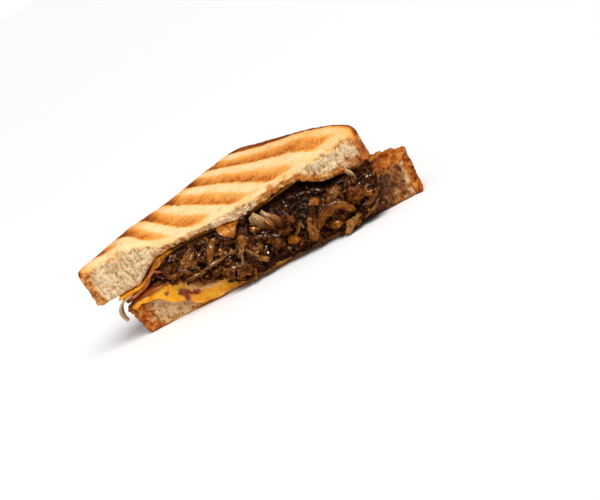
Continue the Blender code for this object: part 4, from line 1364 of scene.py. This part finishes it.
def scatterStrands(surface):
    thick = [modelShred(f"shred_{n}", 11, 12, n) for n in range(6)]
    thin = [modelShred(f"strand_{n}", 6, 8, 40 + n) for n in range(3)]
    tray = Tray()
    zones = ((frontZone, 0.8), (rightZone, 0.14), (leftZone, 0.06))
    # shapes, how many, then the shortest, longest, thinnest and widest in mm
    kinds = ((thick, pork["shreds"], 7, 17, 1.2, 2.9), (thin, pork["strands"], 6, 17, 0.5, 1.15))
    for shapes, count, shortest, longest, thinnest, widest in kinds:
        for zone, upper, place, _ in scatteredPlaces(surface, zones, count):
            lean = porkDraw.gauss(-0.45, 1.0)
            heading = (math.cos(lean), 0, math.sin(lean))
            if zone is not frontZone:
                heading = [porkDraw.uniform(-1, 1) for _ in range(3)]
            length = porkDraw.uniform(shortest, longest) * mm
            path, normals = walk(surface["tree"], place, heading, length, 8, porkDraw.gauss(0, 0.14))
            width = porkDraw.uniform(thinnest, widest) * mm
            laid, faces, fibre = bendAlong(
                porkDraw.choice(shapes), path, normals, width, width * porkDraw.uniform(0.45, 0.75),
                (0.1 + 3.2 * upper ** 1.4) * mm, porkDraw.uniform(-1.6, 1.6) * mm,
            )
            # the deeper the layer, the more painted shade on the piece
            tray.add(laid, faces, toneAt(place) * (0.16 + 0.88 * upper), fibre)
    for route, width, depth, lift, tone in standing["strands"]:
        spots = [onFront(surface, x, z) for x, z in route]
        at = np.linspace(0, len(route) - 1, 11)
        path, normals = (interpolate(at, np.array(rows)) for rows in zip(*spots))
        path[1:-1] = (path[:-2] + path[1:-1] * 2 + path[2:]) / 4
        if len(route) == 2:
            # a straight one rests against the heap where that bulges most
            sunk = [place[1] - onFront(surface, place[0] / mm, place[2] / mm)[0][1] for place in path]
            path[:, 1] -= max(sunk)
        normals = normals * 0.4 + np.array((0, -0.6, 0.05))
        normals /= np.linalg.norm(normals, axis=1)[:, None]
        shape = thick[int(width * 10) % 6]
        laid, faces, fibre = bendAlong(shape, path, normals, width * mm, depth * mm, lift * mm, 0)
        tray.add(laid, faces, tone, fibre)
    return tray.serve("pork_shreds")


def putChunk(tray, shape, place, normal, size, turn, tone):
    # half sunk, its fibres along its length
    points, faces = shape
    spin = Vector(normal).to_track_quat("Z", "Y").to_matrix() @ Matrix.Rotation(turn, 3, "Z")
    laid = points * np.array(size) @ np.array(spin).T + place
    fibre = points * np.array((1.5, 9, 9))
    tray.add(laid, faces, tone, fibre)


def scatterChunks(surface):
    large = [modelChunk(f"chunk_{n}", 4, n * 3.1) for n in range(5)]
    small = [modelChunk(f"bit_{n}", 3, 20 + n * 2.3) for n in range(4)]
    tiny = modelChunk("crumb_of_meat", 2, 31.7)
    tray = Tray()
    zones = ((frontZone, 0.84), (rightZone, 0.11), (leftZone, 0.05))
    for _, _, place, normal in scatteredPlaces(surface, zones, pork["chunks"]):
        size = porkDraw.uniform(2.6, 6) * mm
        shape = (size, size * porkDraw.uniform(0.5, 0.8), size * porkDraw.uniform(0.4, 0.6))
        spot = place + normal * porkDraw.uniform(0.5, 2.6) * mm
        lump = porkDraw.choice(small)
        putChunk(tray, lump, spot, normal, shape, porkDraw.uniform(0, 3), toneAt(place))
    # crumbs of meat between the shreds
    for _, _, place, normal in scatteredPlaces(surface, ((frontZone, 1),), pork["bits"]):
        size = porkDraw.uniform(0.9, 2.6) * mm
        shape = (size, size * porkDraw.uniform(0.5, 0.9), size * porkDraw.uniform(0.5, 0.9))
        spot = place + normal * porkDraw.uniform(0.8, 4.4) * mm
        putChunk(tray, tiny, spot, normal, shape, porkDraw.uniform(0, 3), toneAt(place) + 0.1)
    for number, (x, z, length, width, turn, tone) in enumerate(standing["chunks"]):
        place, normal = onFront(surface, x, z)
        normal = unit(normal * 0.4 + np.array((0, -0.6, 0.1)))
        side = Vector(normal).to_track_quat("Z", "Y").to_matrix() @ Vector((1, 0, 0))
        turned = turn + math.atan2(side.z, side.x)
        shape = (length * mm, width * mm, 4.2 * mm)
        putChunk(tray, large[number % 5], place + normal * 2.6 * mm, normal, shape, -turned, tone)
    return tray.serve("pork_chunks")


def scatterDice(surface):
    shape = modelDice("onion_die")
    tray = Tray()
    for _, _, place, normal in scatteredPlaces(surface, ((frontZone, 1),), pork["dice"]):
        size = porkDraw.uniform(2.2, 4.4) * mm
        sides = (size, size * porkDraw.uniform(0.6, 0.95), size * 0.5)
        spot = place + normal * porkDraw.uniform(0.8, 2.6) * mm
        putChunk(tray, shape, spot, normal, sides, porkDraw.uniform(0, 3), porkDraw.random())
    for x, z, size in standing["dice"]:
        place, normal = onFront(surface, x, z)
        normal = unit(normal * 0.5 + np.array((0, -0.5, 0.1)))
        spot = place + normal * 2.6 * mm
        sides = (size * mm, size * 0.72 * mm, 3.6 * mm)
        putChunk(tray, shape, spot, normal, sides, porkDraw.uniform(0, 3), porkDraw.random())
    return tray.serve("onion_dice")


def makePork():
    core = makeCore()
    surface = surfaceOf(core)
    shreds = scatterStrands(surface)
    chunks = scatterChunks(surface)
    dice = scatterDice(surface)
    settle(core, "pork", sauceFinish(), "pulled_pork")
    finish = meatFinish()
    settle(shreds, "pork", finish)
    settle(chunks, "pork", finish)
    settle(dice, "onion", onionFinish("browned onion", colour(248, 172, 58), colour(164, 88, 6), 420.0, 0.2))
    for piece in (core, shreds, chunks, dice):
        print(piece.name, len(piece.data.polygons), "faces")


makePork()


view = {
    "azimuth": 16.81, "elevation": 14.38, "roll": -31.96, "distance": 0.688, "lens": 85, "sensor": 36,
    # the picture's width and how far it is moved, in photo pixels
    "width": 600, "right": -28.0, "down": 20.4,
}


def makeCamera():
    turn, rise, roll = (math.radians(view[key]) for key in ("azimuth", "elevation", "roll"))
    back = Vector((math.sin(turn) * math.cos(rise), -math.cos(turn) * math.cos(rise), math.sin(rise)))
    right = Vector((0, 0, 1)).cross(back).normalized()
    up = back.cross(right)
    rightEdge = right * math.cos(roll) + up * math.sin(roll)
    upEdge = up * math.cos(roll) - right * math.sin(roll)
    perPixel = view["distance"] / (view["width"] * view["lens"] / view["sensor"])
    place = back * view["distance"] - rightEdge * view["right"] * perPixel + upEdge * view["down"] * perPixel
    camera = bpy.data.cameras.new("photo_view")
    camera.lens = view["lens"]
    camera.sensor_width = view["sensor"]
    camera.clip_start = 0.01
    holder = newObject("photo_view", camera)
    turned = Matrix((rightEdge, upEdge, back)).transposed().to_4x4()
    holder.matrix_world = Matrix.Translation(place + Vector(cutOrigin)) @ turned
    bpy.context.scene.camera = holder


studio = {
    "ambient": 0.34, "seen": 1.0, "mirrored": 0.03, "sun": 2.75, "sunSpread": 44, "sunFrom": (0.4, -0.52, 1),
    "aim": (0, -0.03, 0.02), "warm": (1, 0.87, 0.76),
    "lamps": (  # name, place, size, watts
        ("shine", (0.3, -0.5, 0.55), 0.14, 3.6),
        ("sparkle", (-0.22, -0.5, 0.42), 0.08, 1.7),
        ("glint", (0.08, -0.62, 0.2), 0.06, 1.0),
        ("topGlint", (0.02, -0.3, 0.7), 0.1, 2.4),
    ),
}


def makeFloor():
    deselectAll()
    bpy.ops.mesh.primitive_plane_add(size=40)
    floor = started("floor")
    floor.visible_glossy = False  # the sauce mirrors the dark room, not the table
    made, tree, skin = newFinish("studio floor")[:3]
    feed(tree, skin, {"Base Color": (0.985, 0.985, 0.985, 1), "Roughness": 0.9})
    floor.data.materials.append(made)


def addLamp(name, place, size, power):
    lamp = bpy.data.lights.new(name, "AREA")
    lamp.size = size
    lamp.energy = power
    lamp.color = studio["warm"]
    holder = newObject(name, lamp)
    holder.visible_diffuse = False  # they only glint; the sun and the room light the food
    holder.location = place
    ahead = Vector(studio["aim"]) - Vector(place)
    holder.rotation_euler = ahead.to_track_quat("-Z", "Y").to_euler()


def makeLight():
    world = bpy.data.worlds.new("studio")
    bpy.context.scene.world = world
    world.use_nodes = True
    tree = world.node_tree
    sky = tree.nodes["Background"]
    ray = put(tree, "LightPath", {}).outputs
    strength = timesPlus(tree, ray["Is Camera Ray"], studio["seen"] - studio["ambient"], studio["ambient"])
    strength = timesPlus(tree, ray["Is Glossy Ray"], studio["mirrored"] - studio["ambient"], strength)
    tree.links.new(strength, sky.inputs["Strength"])
    sky.inputs["Color"].default_value = (1, 1, 1, 1)
    for lamp in studio["lamps"]:
        addLamp(*lamp)
    sun = bpy.data.lights.new("overhead", "SUN")
    sun.energy = studio["sun"]
    sun.angle = math.radians(studio["sunSpread"])
    holder = newObject("overhead", sun)
    holder.visible_glossy = False  # only the small lamps glint in the sauce
    holder.rotation_euler = Vector(studio["sunFrom"]).to_track_quat("Z", "Y").to_euler()
    bpy.context.scene.view_settings.view_transform = "Standard"


makeCamera()
makeFloor()
makeLight()
print("camera, floor and light set")
